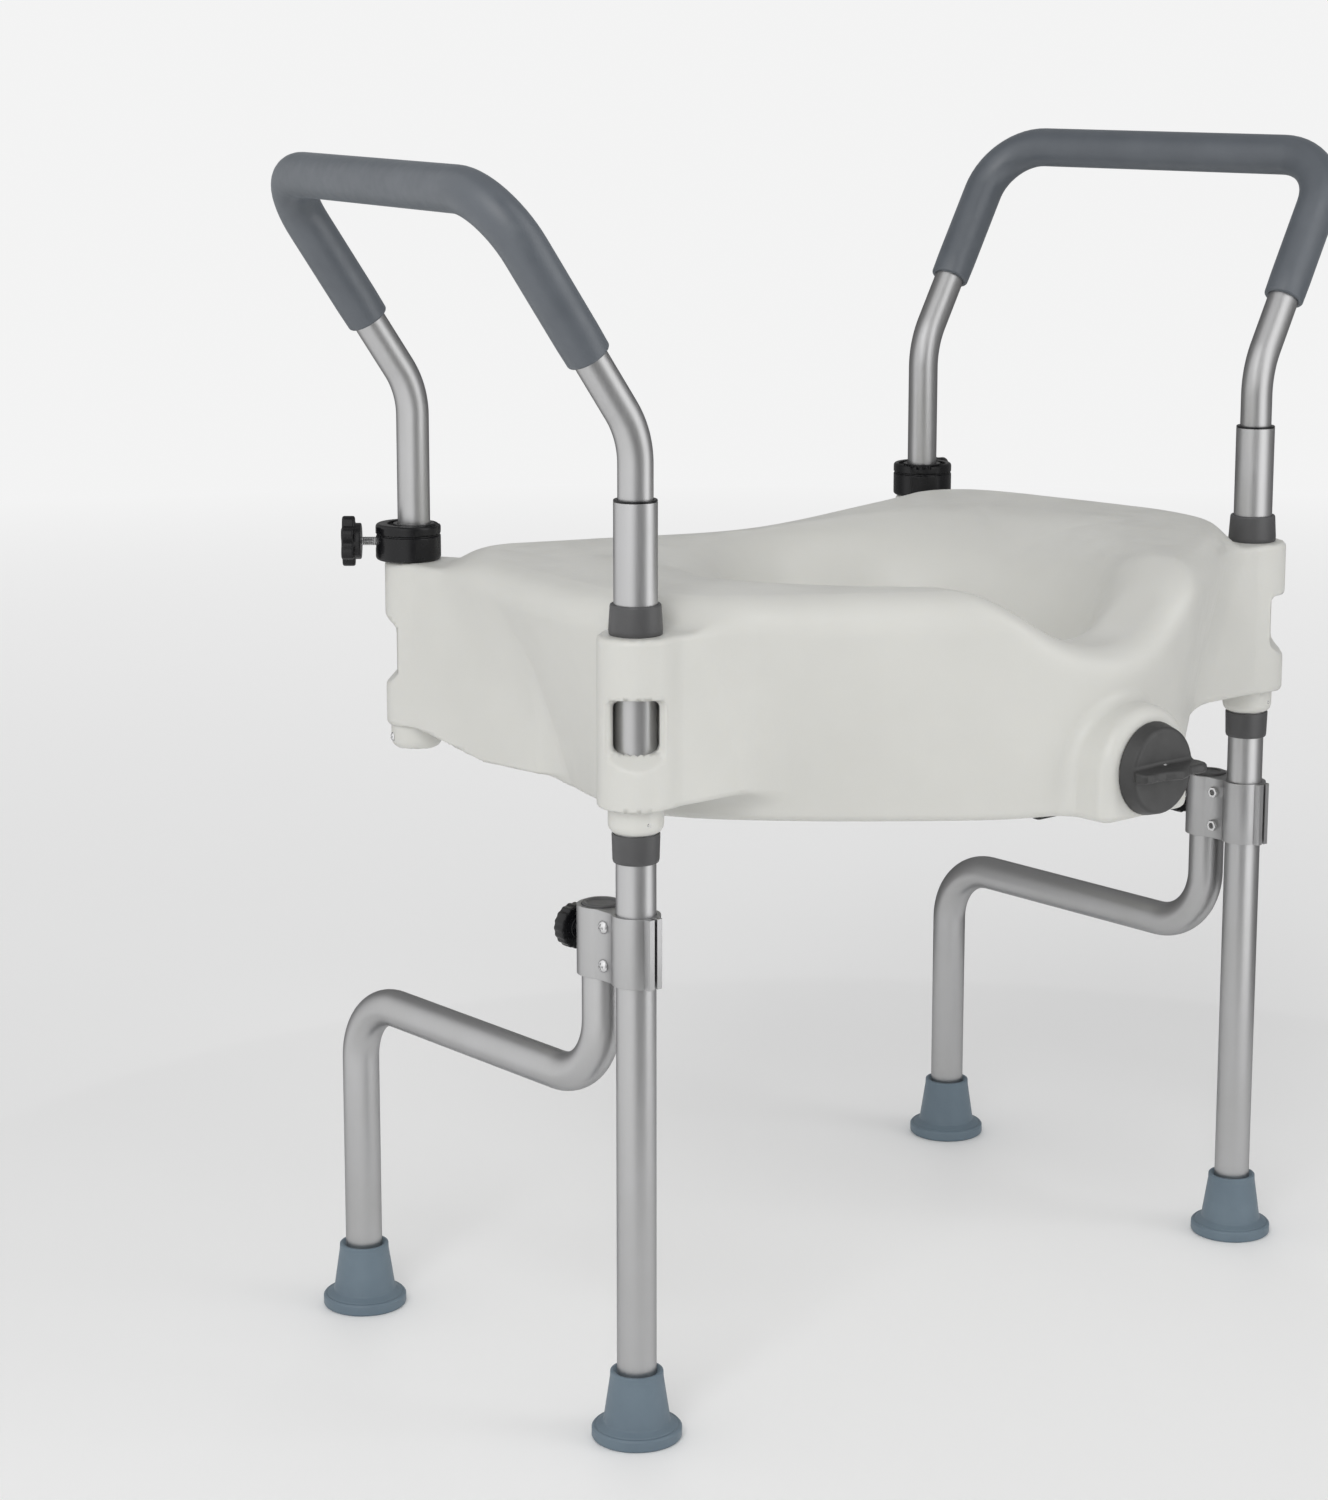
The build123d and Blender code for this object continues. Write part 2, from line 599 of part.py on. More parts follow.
# --- Front clamp ------------------------------------------------------------------------------
def clamp_dial():
    """Tapered round dial with a wing across it that has a wavy front edge."""
    back = Plane((0, HOUSING_Y - SPACE, DIAL_Z), x_dir=(1, 0, 0), z_dir=(0, -1, 0))
    face_y = HOUSING_Y - SPACE - DIAL_THICKNESS
    with BuildPart() as dial:
        with BuildSketch(back):
            Circle(DIAL_R)
        with BuildSketch(back.offset(DIAL_THICKNESS)):
            Circle(DIAL_FACE_R)
        loft()
        with BuildSketch(Plane.XY.offset(DIAL_Z - WING_THICKNESS / 2)):
            with BuildLine():
                edge = [(x, face_y - reach) for x, reach in WING_EDGE]
                Spline(*edge)
                Polyline(edge[-1], (DIAL_FACE_R - 3, face_y + 3), (3 - DIAL_FACE_R, face_y + 3), edge[0])
            make_face()
        extrude(amount=WING_THICKNESS)
        with BuildSketch(back):
            Circle(SPINDLE_R)
        extrude(amount=DIAL_THICKNESS + 2, mode=Mode.SUBTRACT)
    return dial


def clamp_spindle():
    """Threaded spindle from the dial through the front wall into the pocket, drawn plain."""
    end = POCKET_REAR - 6
    front = HOUSING_Y - SPACE - DIAL_THICKNESS - 2
    return bolt(Plane((0, end, DIAL_Z), z_dir=(0, -1, 0)), SPINDLE_R, end - front)


def spindle_clip():
    """Retaining ring on the spindle, just inside the front wall."""
    with BuildPart() as clip:
        with BuildSketch(Plane((0, POCKET_FRONT + SPACE, DIAL_Z), z_dir=(0, 1, 0))):
            Circle(9)
            Circle(SPINDLE_R, mode=Mode.SUBTRACT)
        extrude(amount=2)
    return clip


def clamp_jaw():
    """Plate that travels along the spindle and hooks down inside the bowl's rim."""
    height = JAW_TOP - JAW_BOTTOM
    with BuildPart() as jaw:
        with BuildSketch(Plane((0, JAW_Y, (JAW_TOP + JAW_BOTTOM) / 2), x_dir=(1, 0, 0), z_dir=(0, -1, 0))):
            RectangleRounded(2 * JAW_HALF_WIDTH, height, 6)
        extrude(amount=-JAW_THICKNESS)
        with BuildSketch(Plane((0, JAW_Y, DIAL_Z), z_dir=(0, 1, 0))):
            Circle(10)
        extrude(amount=JAW_THICKNESS + 5)
        with BuildSketch(Plane((0, JAW_Y - 1, DIAL_Z), z_dir=(0, 1, 0))):
            Circle(SPINDLE_R + SLIDE_FIT)
        extrude(amount=JAW_THICKNESS + 7, mode=Mode.SUBTRACT)
    return jaw


def jaw_pad():
    """Rubber pad on the lower front of the jaw."""
    with BuildPart() as pad:
        with BuildSketch(Plane((0, JAW_Y, JAW_BOTTOM + 15), x_dir=(1, 0, 0), z_dir=(0, -1, 0))):
            RectangleRounded(44, 24, 4)
        extrude(amount=3)
    return pad


for side_name, side in SIDES.items():
    for name, piece in {
        "front_leg": straight_tube(side * FRONT_X, FRONT_Y, FOOT_SOLE, LEG_TOP, LEG_R, LEG_BORE),
        "front_foot": foot(side * FRONT_X, FRONT_Y),
        "rear_leg": rear_leg(side),
        "rear_leg_plug": rear_leg_plug(side),
        "rear_foot": foot(side * FRONT_X, REAR_FOOT_Y),
        "leg_bracket": leg_bracket(side),
        "bracket_screws": bracket_screws(side),
        "bracket_nuts": bracket_nuts(side),
        "leg_knob": leg_knob(side),
        "leg_knob_bolt": leg_knob_bolt(side),
        "front_post": front_post(side),
        "post_bush": post_bush(side),
        "upper_collar": upper_collar(side),
        "lower_collar": lower_collar(side),
        "leg_lock_screw": leg_lock_screw(side),
        "rear_clamp": rear_clamp(side),
        "rear_guide": rear_guide(side),
        "rear_guide_screw": rear_guide_screw(side),
        "star_knob": star_knob(side),
        "star_knob_bolt": star_knob_bolt(side),
        "handle_tube": handle_tube(side),
        "handle_grip": handle_grip(side),
    }.items():
        save(piece, f"{name}_{side_name}")

for name, piece in {
    "seat_shell": seat_shell(),
    "rim_pads": rim_pads(),
    "clamp_dial": clamp_dial(),
    "clamp_spindle": clamp_spindle(),
    "spindle_clip": spindle_clip(),
    "clamp_jaw": clamp_jaw(),
    "jaw_pad": jaw_pad(),
}.items():
    save(piece, name)
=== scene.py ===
from collections import namedtuple
from math import atan2, cos, pi, radians, sin, sqrt, tan

import bmesh
import bpy
import numpy as np
from mathutils import Matrix, Vector


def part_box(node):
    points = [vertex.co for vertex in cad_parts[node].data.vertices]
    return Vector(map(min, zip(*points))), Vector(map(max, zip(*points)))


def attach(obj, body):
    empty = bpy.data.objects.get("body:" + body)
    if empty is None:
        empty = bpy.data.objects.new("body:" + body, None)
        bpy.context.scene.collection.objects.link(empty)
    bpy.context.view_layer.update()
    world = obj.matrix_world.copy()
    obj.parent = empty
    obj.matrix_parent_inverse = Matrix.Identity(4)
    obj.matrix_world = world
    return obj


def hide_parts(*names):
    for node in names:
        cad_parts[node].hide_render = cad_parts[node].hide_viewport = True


# The raised toilet seat around its CAD frame. Blender works in metres. The shapes below are written in
# millimetres and scaled when their meshes are made. +Z is up and -Y is the front of the toilet.

MM = 0.001
SIDES = {"left": -1, "right": 1}
UP = Vector((0, 0, 1))

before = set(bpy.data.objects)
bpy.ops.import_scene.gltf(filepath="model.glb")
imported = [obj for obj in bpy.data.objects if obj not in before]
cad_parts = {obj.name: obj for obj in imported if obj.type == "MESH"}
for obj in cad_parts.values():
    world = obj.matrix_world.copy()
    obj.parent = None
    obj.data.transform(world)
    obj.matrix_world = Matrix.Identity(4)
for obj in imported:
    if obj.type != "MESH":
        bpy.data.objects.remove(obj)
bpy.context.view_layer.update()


# --- Places and sizes, from the frame ---
def low(node):
    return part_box(node)[0] / MM


def high(node):
    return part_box(node)[1] / MM


def middle(node):
    return (low(node) + high(node)) / 2


def half_width(node):
    return (high(node).x - low(node).x) / 2


FRONT_X, FRONT_Y = middle("front_post_right").xy
REAR_X, REAR_Y = middle("rear_guide_right").xy
SOCKET_Y = middle("rear_leg_plug_right").y
REAR_FOOT_Y = middle("rear_foot_right").y
SEAT_BOTTOM, SEAT_TOP = low("seat_shell").z, high("seat_shell").z
RIM_Z = high("rim_pads").z
FRONT_LUG_TOP, COLLAR_TOP = low("upper_collar_right").z, high("upper_collar_right").z
COLLAR_BOTTOM, BOSS_BOTTOM = low("lower_collar_right").z, low("rear_guide_right").z - 3
BOSS_SCREW_Z, WINDOW_BOTTOM, WINDOW_TOP = 405.0, 449.5, low("rear_clamp_right").z - 5
CLAMP_TOP = high("rear_clamp_right").z
CLAMP_BOTTOM = 2 * middle("star_knob_right").z - CLAMP_TOP
CLAMP_HEIGHT = CLAMP_TOP - CLAMP_BOTTOM
POST_R, POST_BORE = half_width("front_post_right"), half_width("front_post_right") - 0.9
POST_BOTTOM, POST_TOP = low("front_post_right").z, high("front_post_right").z
LEG_R, LEG_TOP = half_width("front_leg_right"), high("front_leg_right").z
HANDLE_R, HANDLE_BORE, GRIP_R = 11.1, 9.7, 14.6
HANDLE_FRONT_END, HANDLE_REAR_END = 530.0, low("handle_tube_right").z
BRACKET_BOTTOM, BRACKET_TOP = low("leg_bracket_right").z, high("leg_bracket_right").z
FOOT_R, FOOT_HEIGHT = half_width("front_foot_right"), high("front_foot_right").z
FOOT_SOLE = low("front_leg_right").z
DIAL_R, DIAL_BACK, DIAL_Z = half_width("clamp_dial"), high("clamp_dial").y, middle("clamp_dial").z
HOUSING_Y = DIAL_BACK + 0.3


# --- Making meshes ---
def plane_at(origin, direction, across=None):
    """A frame with its Z along the direction and its X near the across vector."""
    z = Vector(direction).normalized()
    guide = Vector(across) if across else (UP if abs(z.z) < 0.9 else Vector((1, 0, 0)))
    x = (guide - z * guide.dot(z)).normalized() if across else guide.cross(z).normalized()
    placed = Matrix((x, z.cross(x), z)).transposed().to_4x4()
    placed.translation = Vector(origin)
    return placed


def new_object(name, data):
    thing = bpy.data.objects.new(name, data)
    bpy.context.scene.collection.objects.link(thing)
    return thing


def make_piece(name, points, faces, body, finish, stands_for, sharp=35, normals=None):
    """An object from points in millimetres. It rides on a body and stands for CAD nodes."""
    slot, material = finish
    mesh = bpy.data.meshes.new(name)
    mesh.from_pydata((np.asarray(points, float) * MM).tolist(), [], faces)
    if normals is None:
        work = bmesh.new()
        work.from_mesh(mesh)
        bmesh.ops.remove_doubles(work, verts=work.verts, dist=2e-6)
        bmesh.ops.recalc_face_normals(work, faces=work.faces)
        work.to_mesh(mesh)
        work.free()
    mesh.shade_smooth()
    if normals is None:
        mesh.set_sharp_from_angle(angle=radians(sharp))
    else:
        mesh.normals_split_custom_set_from_vertices(normals.tolist())
    mesh.materials.append(material)
    piece = new_object(name, mesh)
    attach(piece, body)
    if stands_for:
        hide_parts(*stands_for)
    return piece


def joined(*parts):
    """Points and faces of several (points, faces) pairs as one pair."""
    points, faces = [], []
    for some_points, some_faces in parts:
        faces += [[corner + len(points) for corner in face] for face in some_faces]
        points += [tuple(point) for point in some_points]
    return points, faces


def filleted(corners, radii, steps=6):
    """The points of a path whose inner corners are rounded by arcs."""
    corners = [Vector(corner).to_3d() for corner in corners]
    path = [corners[0]]
    for before, corner, after, radius in zip(corners, corners[1:], corners[2:], radii):
        into, out = (corner - before).normalized(), (after - corner).normalized()
        turn = into.angle(out)
        if radius <= 0 or turn < 0.01:
            path.append(corner)
            continue
        start = corner - into * radius * tan(turn / 2)
        arm = into * -cos(turn) + out
        arm = arm.normalized() * -radius
        centre = start - arm
        for step in range(steps + 1):
            angle = turn * step / steps
            path.append(centre + arm * cos(angle) + into * radius * sin(angle))
    return path + [corners[-1]]


def rounded_loop(corners, steps=4):
    """A closed profile of (radius, height, rounding) corners, as (radius, height) points."""
    flat = [Vector((corner[0], corner[1], 0)) for corner in corners]
    loop = filleted([flat[-1], *flat, flat[0]], [corner[2] for corner in corners], steps)
    return [(point.x, point.y) for point in loop[1:-1]]


def revolved(loop, placed, segments=72):
    """A closed (radius, height) profile turned about a frame's Z."""
    points, count = [], len(loop)
    for step in range(segments):
        angle = 2 * pi * step / segments
        points += [placed @ Vector((r * cos(angle), r * sin(angle), h)) for r, h in loop]
    faces = []
    for step in range(segments):
        here, there = step * count, (step + 1) % segments * count
        for index in range(count):
            after = (index + 1) % count
            if max(loop[index][0], loop[after][0]) > 0:
                faces.append([here + index, here + after, there + after, there + index])
    return points, faces


def swept(path, section, segments=40):
    """A tube along a path. The section is a closed loop of (distance along the path, radius)."""
    spots = np.array([tuple(point) for point in path])
    steps = np.linalg.norm(np.diff(spots, axis=0), axis=1)
    lengths = np.concatenate([[0], np.cumsum(steps)])
    ways = [Vector(b - a).normalized() for a, b in zip(spots, spots[1:])]
    ways = [ways[0]] + [(a + b).normalized() for a, b in zip(ways, ways[1:])] + [ways[-1]]
    side = ways[0].orthogonal().normalized()
    sides = []
    for way in ways:
        side = (side - way * side.dot(way)).normalized()
        sides.append(side)
    sides, ways = np.array([tuple(s) for s in sides]), np.array([tuple(w) for w in ways])
    stations = []
    for (start, first), (end, last) in zip(section, section[1:] + section[:1]):
        between = [s for s in lengths if min(start, end) + 0.01 < s < max(start, end) - 0.01]
        stations.append((start, first))
        for s in sorted(between, reverse=end < start):
            stations.append((s, first + (last - first) * (s - start) / (end - start)))
    points = []
    for s, radius in stations:
        spot, way, side = (
            Vector([np.interp(s, lengths, table[:, k]) for k in range(3)]) for table in (spots, ways, sides)
        )
        way = way.normalized()
        side = (side - way * side.dot(way)).normalized()
        other = way.cross(side)
        for step in range(segments):
            angle = 2 * pi * step / segments
            points.append(spot + (side * cos(angle) + other * sin(angle)) * radius)
    faces, count = [], len(stations)
    for index in range(count):
        here, there = index * segments, (index + 1) % count * segments
        for step in range(segments):
            after = (step + 1) % segments
            faces.append([here + step, here + after, there + after, there + step])
    return points, faces


def path_length(path):
    return sum((b - a).length for a, b in zip(path, path[1:]))


def tube_section(length, radius, bore, rounding=0.5, arcs=3):
    """The section of a plain tube with slightly rounded ends."""
    loop = rounded_loop([
        (bore, 0, rounding * 0.6), (radius, 0, rounding), (radius, length, rounding),
        (bore, length, rounding * 0.6),
    ], arcs)
    return [(along, r) for r, along in loop]


def plate(loops, bottom, top, bevel, placed, steps=3):
    """A flat piece from closed outlines, holes included, with rounded edges."""
    curve = bpy.data.curves.new("outline", "CURVE")
    curve.dimensions, curve.fill_mode = "2D", "BOTH"
    curve.extrude = (top - bottom) / 2 - bevel
    curve.bevel_depth, curve.bevel_resolution, curve.offset = bevel, steps, -bevel
    for loop in loops:
        spline = curve.splines.new("POLY")
        spline.points.add(len(loop) - 1)
        for point, (x, y) in zip(spline.points, loop):
            point.co = (x, y, 0, 1)
        spline.use_cyclic_u = True
    holder = new_object("outline", curve)
    bpy.context.view_layer.update()
    shown = holder.evaluated_get(bpy.context.evaluated_depsgraph_get())
    mesh = bpy.data.meshes.new_from_object(shown)
    lift = Vector((0, 0, (top + bottom) / 2))
    points = [placed @ (vertex.co + lift) for vertex in mesh.vertices]
    faces = [list(polygon.vertices) for polygon in mesh.polygons]
    bpy.data.objects.remove(holder)
    bpy.data.curves.remove(curve)
    bpy.data.meshes.remove(mesh)
    return points, faces


def circle(radius, x=0.0, y=0.0, steps=48):
    angles = [2 * pi * k / steps for k in range(steps)]
    return [(x + radius * cos(angle), y + radius * sin(angle)) for angle in angles]


# --- Distance fields ---
def round_max(a, b, radius):
    """What is inside both fields, with the edge between them rounded."""
    corner = np.hypot(np.maximum(a + radius, 0), np.maximum(b + radius, 0))
    return np.minimum(-radius, np.maximum(a, b)) + corner


def round_min(a, b, radius):
    """What is inside either field, with the corner between them filled in."""
    return -round_max(-a, -b, radius)


def surface_net(field, lowest, highest, step):
    """Points and quads on the zero level of field(x, y, z)."""
    axes = [np.arange(a, b + step, step) for a, b in zip(lowest, highest)]
    value = field(*np.meshgrid(*axes, indexing="ij"))
    inside = value < 0
    shape = np.array(value.shape) - 1
    offsets = [(i, j, k) for i in (0, 1) for j in (0, 1) for k in (0, 1)]

    def corner(array, offset):
        return array[tuple(slice(o, o + n) for o, n in zip(offset, shape))]

    count = sum(corner(inside, offset).astype(np.int8) for offset in offsets)
    mixed = (count > 0) & (count < 8)
    index = np.full(shape, -1)
    index[mixed] = np.arange(mixed.sum())
    total, hits = np.zeros((mixed.sum(), 3)), np.zeros(mixed.sum())
    for first in offsets:
        for axis in range(3):
            if first[axis]:
                continue
            second = tuple(1 if k == axis else o for k, o in enumerate(first))
            a, b = corner(value, first)[mixed], corner(value, second)[mixed]
            cross = (a < 0) != (b < 0)
            share = np.where(cross, a / np.where(cross, a - b, 1), 0)
            spot = np.array(first, float)[None, :].repeat(len(a), 0)
            spot[:, axis] += share
            total += spot * cross[:, None]
            hits += cross
    cells = np.argwhere(mixed)
    points = np.array(lowest) + step * (cells + total / hits[:, None])
    faces = []
    for axis in range(3):
        u, v = (axis + 1) % 3, (axis + 2) % 3
        size = list(value.shape)
        size[axis] -= 1
        start = [slice(1, n - 1) for n in value.shape]
        start[axis] = slice(0, size[axis])
        after = list(start)
        after[axis] = slice(1, size[axis] + 1)
        first, second = inside[tuple(start)], inside[tuple(after)]
        for flip, edges in ((False, first & ~second), (True, ~first & second)):
            spots = np.argwhere(edges)
            for k in range(3):
                spots[:, k] += 0 if k == axis else 1
            ring = []
            for du, dv in ((-1, -1), (0, -1), (0, 0), (-1, 0)):
                cell = spots.copy()
                cell[:, u] += du
                cell[:, v] += dv
                ring.append(index[tuple(cell.T)])
            quad = np.stack(ring[::-1] if flip else ring, 1)
            faces += quad[(quad >= 0).all(1)].tolist()
    return points, faces


def slopes(field, points, reach=0.2):
    """The field's gradient at each point."""
    columns = []
    for axis in range(3):
        shift = np.zeros(3)
        shift[axis] = reach
        columns.append((field(*(points + shift).T) - field(*(points - shift).T)) / (2 * reach))
    return np.stack(columns, 1)


def settled(field, points, step):
    """The points moved onto the field's zero level, and the normals there."""
    start = points
    for _ in range(3):
        slope = slopes(field, points)
        size = np.maximum((slope**2).sum(1), 0.05)
        move = field(*points.T)[:, None] * slope / size[:, None]
        points = points - np.clip(move, -step, step)
    far = np.linalg.norm(points - start, axis=1) > 1.5 * step
    points[far] = start[far]
    slope = slopes(field, points)
    return points, slope / np.maximum(np.linalg.norm(slope, axis=1), 1e-6)[:, None]


def field_piece(name, field, lowest, highest, step, body, finish, stands_for, placed=None):
    """A piece whose surface is the zero level of a field in the frame that it is placed by."""
    points, faces = surface_net(field, lowest, highest, step)
    points, normals = settled(field, points, step)
    if placed:
        turn = np.array(placed.to_3x3())
        points, normals = points @ turn.T + np.array(placed.translation), normals @ turn.T
    make_piece(name, points, faces, body, finish, stands_for, normals=normals)


class PlanGrid:
    """Values on a fine grid over the plan, read between its points."""

    def __init__(self, make, x_range, y_range, step):
        self.low, self.step = np.array([x_range[0], y_range[0]]), step
        x, y = np.arange(*x_range, step), np.arange(*y_range, step)
        self.values = make(*np.meshgrid(x, y, indexing="ij"))

    def __call__(self, x, y):
        u, v = (x - self.low[0]) / self.step, (y - self.low[1]) / self.step
        i = np.clip(u.astype(int), 0, self.values.shape[0] - 2)
        j = np.clip(v.astype(int), 0, self.values.shape[1] - 2)
        s, t = np.clip(u - i, 0, 1), np.clip(v - j, 0, 1)
        grid = self.values
        near = grid[i, j] * (1 - s) + grid[i + 1, j] * s
        far = grid[i, j + 1] * (1 - s) + grid[i + 1, j + 1] * s
        return near * (1 - t) + far * t


def smooth_outline(points, steps=14):
    """A smooth closed curve through the right half's points and their mirror images."""
    half = [Vector(point) for point in points]
    ring = half + [Vector((-point.x, point.y)) for point in reversed(half[1:-1])]
    curve = []
    for index, here in enumerate(ring):
        before, after, beyond = (ring[(index + k) % len(ring)] for k in (-1, 1, 2))
        for step in range(steps):
            t = step / steps
            curve.append(
                ((here * 2) + (after - before) * t + (before * 2 - here * 5 + after * 4 - beyond) * t**2
                 + (here * 3 - before - after * 3 + beyond) * t**3) / 2
            )
    return np.array([tuple(point) for point in curve])


def distance_to_outline(outline, x, y):
    """Distance to a closed outline, negative inside it."""
    best, inside = np.full(x.shape, 1e9), np.zeros(x.shape, bool)
    for (ax, ay), (bx, by) in zip(outline, np.roll(outline, -1, 0)):
        ex, ey, px, py = bx - ax, by - ay, x - ax, y - ay
        t = np.clip((px * ex + py * ey) / max(ex * ex + ey * ey, 1e-9), 0, 1)
        best = np.minimum(best, (px - ex * t) ** 2 + (py - ey * t) ** 2)
        if ay != by:
            inside ^= ((ay > y) != (by > y)) & (px < ex * (y - ay) / ey)
    return np.sqrt(best) * np.where(inside, -1, 1)


# --- Materials ---
def with_values(node, **values):
    """The shader node with its sockets set. An underscore stands for a space in a socket's name."""
    for socket, value in values.items():
        node.inputs[socket.replace("_", " ")].default_value = value
    return node


def new_material(name, **values):
    """A Principled material, and its nodes, links and shader."""
    material = bpy.data.materials.new(name)
    material.use_nodes = True
    nodes, links = material.node_tree.nodes, material.node_tree.links
    return material, nodes, links, with_values(nodes["Principled BSDF"], **values)


def noise(nodes, links, scale, detail=2.0, stretch=(1, 1, 1)):
    """Noise over the object's own coordinates, in features per metre."""
    place = nodes.new("ShaderNodeTexCoord")
    mapping = with_values(nodes.new("ShaderNodeMapping"), Scale=stretch)
    texture = with_values(nodes.new("ShaderNodeTexNoise"), Scale=scale, Detail=detail)
    links.new(place.outputs["Object"], mapping.inputs["Vector"])
    links.new(mapping.outputs["Vector"], texture.inputs["Vector"])
    return texture.outputs["Fac"]


def spread(nodes, links, source, low_value, high_value, centre=0.5, reach=0.2):
    """The source's middle range mapped onto a range of values."""
    ranged = with_values(
        nodes.new("ShaderNodeMapRange"), From_Min=centre - reach, From_Max=centre + reach,
        To_Min=low_value, To_Max=high_value,
    )
    links.new(source, ranged.inputs["Value"])
    return ranged.outputs["Result"]


def two_tone(nodes, links, source, first, second):
    mix = nodes.new("ShaderNodeMix")
    mix.data_type = "RGBA"
    with_values(mix, A=(*first, 1), B=(*second, 1))
    links.new(source, mix.inputs["Factor"])
    return mix.outputs["Result"]


def bumped(nodes, links, shader, source, height, strength=1.0):
    """The source as a relief of that height in metres."""
    bump = with_values(nodes.new("ShaderNodeBump"), Distance=height, Strength=strength)
    links.new(source, bump.inputs["Height"])
    links.new(bump.outputs["Normal"], shader.inputs["Normal"])


# Each of these gives the name of a slot in the record and the material that goes into it.
def shell_plastic():
    """Warm white blow-moulded polyethylene: satin, faintly mottled, and a little translucent."""
    material, nodes, links, shader = new_material(
        "shell_plastic", Subsurface_Weight=0.12, Subsurface_Scale=0.006, IOR=1.5,
        Subsurface_Radius=(1.0, 0.9, 0.7),
    )
    mottle = spread(nodes, links, noise(nodes, links, 11, 3), 0, 1)
    colour = two_tone(nodes, links, mottle, (0.62, 0.618, 0.585), (0.655, 0.653, 0.62))
    links.new(colour, shader.inputs["Base Color"])
    links.new(spread(nodes, links, noise(nodes, links, 60, 3), 0.36, 0.5), shader.inputs["Roughness"])
    bumped(nodes, links, shader, noise(nodes, links, 520, 4), 0.00012, 0.5)
    return "shell_plastic", material


def aluminium(name, tone, roughness, slot=None):
    """Satin anodised tube with fine drawn grain along it."""
    material, nodes, links, shader = new_material(name, Metallic=1.0, Specular_Tint=(0.55, 0.55, 0.56, 1))
    cloud = spread(nodes, links, noise(nodes, links, 24, 3), 0, 1)
    colour = two_tone(nodes, links, cloud, [tone * 0.96] * 3, [tone, tone, tone * 1.01])
    links.new(colour, shader.inputs["Base Color"])
    grain = noise(nodes, links, 900, 3, (1, 1, 0.06))
    links.new(spread(nodes, links, grain, roughness - 0.03, roughness + 0.04), shader.inputs["Roughness"])
    bumped(nodes, links, shader, grain, 0.00001, 0.25)
    return slot or name, material


def moulded(name, first, second, roughness, grain_scale, grain_height, slot=None, **values):
    """Moulded rubber or plastic: two close tones, uneven gloss and a fine grain."""
    material, nodes, links, shader = new_material(name, **values)
    cloud = spread(nodes, links, noise(nodes, links, 35, 4), 0, 1)
    links.new(two_tone(nodes, links, cloud, first, second), shader.inputs["Base Color"])
    gloss = noise(nodes, links, 120, 3)
    links.new(spread(nodes, links, gloss, roughness - 0.06, roughness + 0.08), shader.inputs["Roughness"])
    bumped(nodes, links, shader, noise(nodes, links, grain_scale, 3), grain_height, 0.6)
    return slot or name, material


SHELL = shell_plastic()
TUBE = aluminium("tube_aluminium", 0.5, 0.36, "tube")
BRACKET = aluminium("bracket_aluminium", 0.47, 0.38, "bracket")
FOAM = moulded(
    "grip_foam", (0.076, 0.088, 0.104), (0.09, 0.103, 0.12), 0.4, 1400, 0.00005, "foam",
    Specular_IOR_Level=0.8, Sheen_Weight=0.12, Sheen_Roughness=0.4, Sheen_Tint=(0.8, 0.88, 0.95, 1),
)
FOOT_RUBBER = moulded("foot_rubber", (0.12, 0.165, 0.205), (0.14, 0.19, 0.23), 0.5, 700, 0.00008)
DARK_PLASTIC = moulded("dark_plastic", (0.062, 0.062, 0.064), (0.075, 0.075, 0.077), 0.42, 1500, 0.00004)
DIAL_PLASTIC = moulded("dial_plastic", [0.034] * 3, [0.042] * 3, 0.45, 1500, 0.00004, "dark_plastic")
BLACK_PLASTIC = moulded(
    "black_plastic", (0.004, 0.004, 0.005), (0.007, 0.007, 0.008), 0.24, 900, 0.00002,
    Specular_IOR_Level=0.35,
)
PAD_RUBBER = moulded("pad_rubber", (0.035, 0.035, 0.036), (0.05, 0.05, 0.05), 0.6, 800, 0.0001)
STEEL = aluminium("screw_steel", 0.72, 0.2)


# --- Seat ---
# Right half of the body's outline at its bottom and at its top, from the rear middle round to the front
# middle. Y is measured from the line through the front posts.
BOTTOM_OUTLINE = [
    (0, 240), (70, 243), (140, 252), (186, 262), (210, 248), (216, 215), (222, 165),
    (238, 115), (246, 70), (234, 28), (196, -18), (135, -72), (70, -118), (0, -136),
]
TOP_OUTLINE = [
    (0, 243), (70, 246), (140, 254), (200, 267), (236, 256), (259, 226), (272, 170),
    (281, 110), (284, 55), (268, 2), (222, -40), (150, -88), (80, -126), (0, -142),
]
SHOULDER = 26.0  # rounding between the walls and the top
HOLE_HALF_WIDTH, HOLE_HALF_LENGTH, HOLE_Y = 100.0, 121.0, FRONT_Y + 52
DISH_DEPTH, DISH_SHARE, DISH_POWER = 45.0, 0.6, 2.2
TROUGH_HALF_WIDTH, TROUGH_FLOOR, TROUGH_LIP = 82.0, 498.0, 20.0
LUG_STEP, BOSS_R, HOUSING_R = 414.0, 17.5, 40.0
POCKET_HALF_WIDTH, POCKET_HALF_LENGTH, POCKET_Y, POCKET_TOP = 32.0, 25.0, FRONT_Y - 97, 448.0
RIM_LEDGE, HOLE_ROUNDING, LUG_BLEND = 14.0, 30.0, 14.0
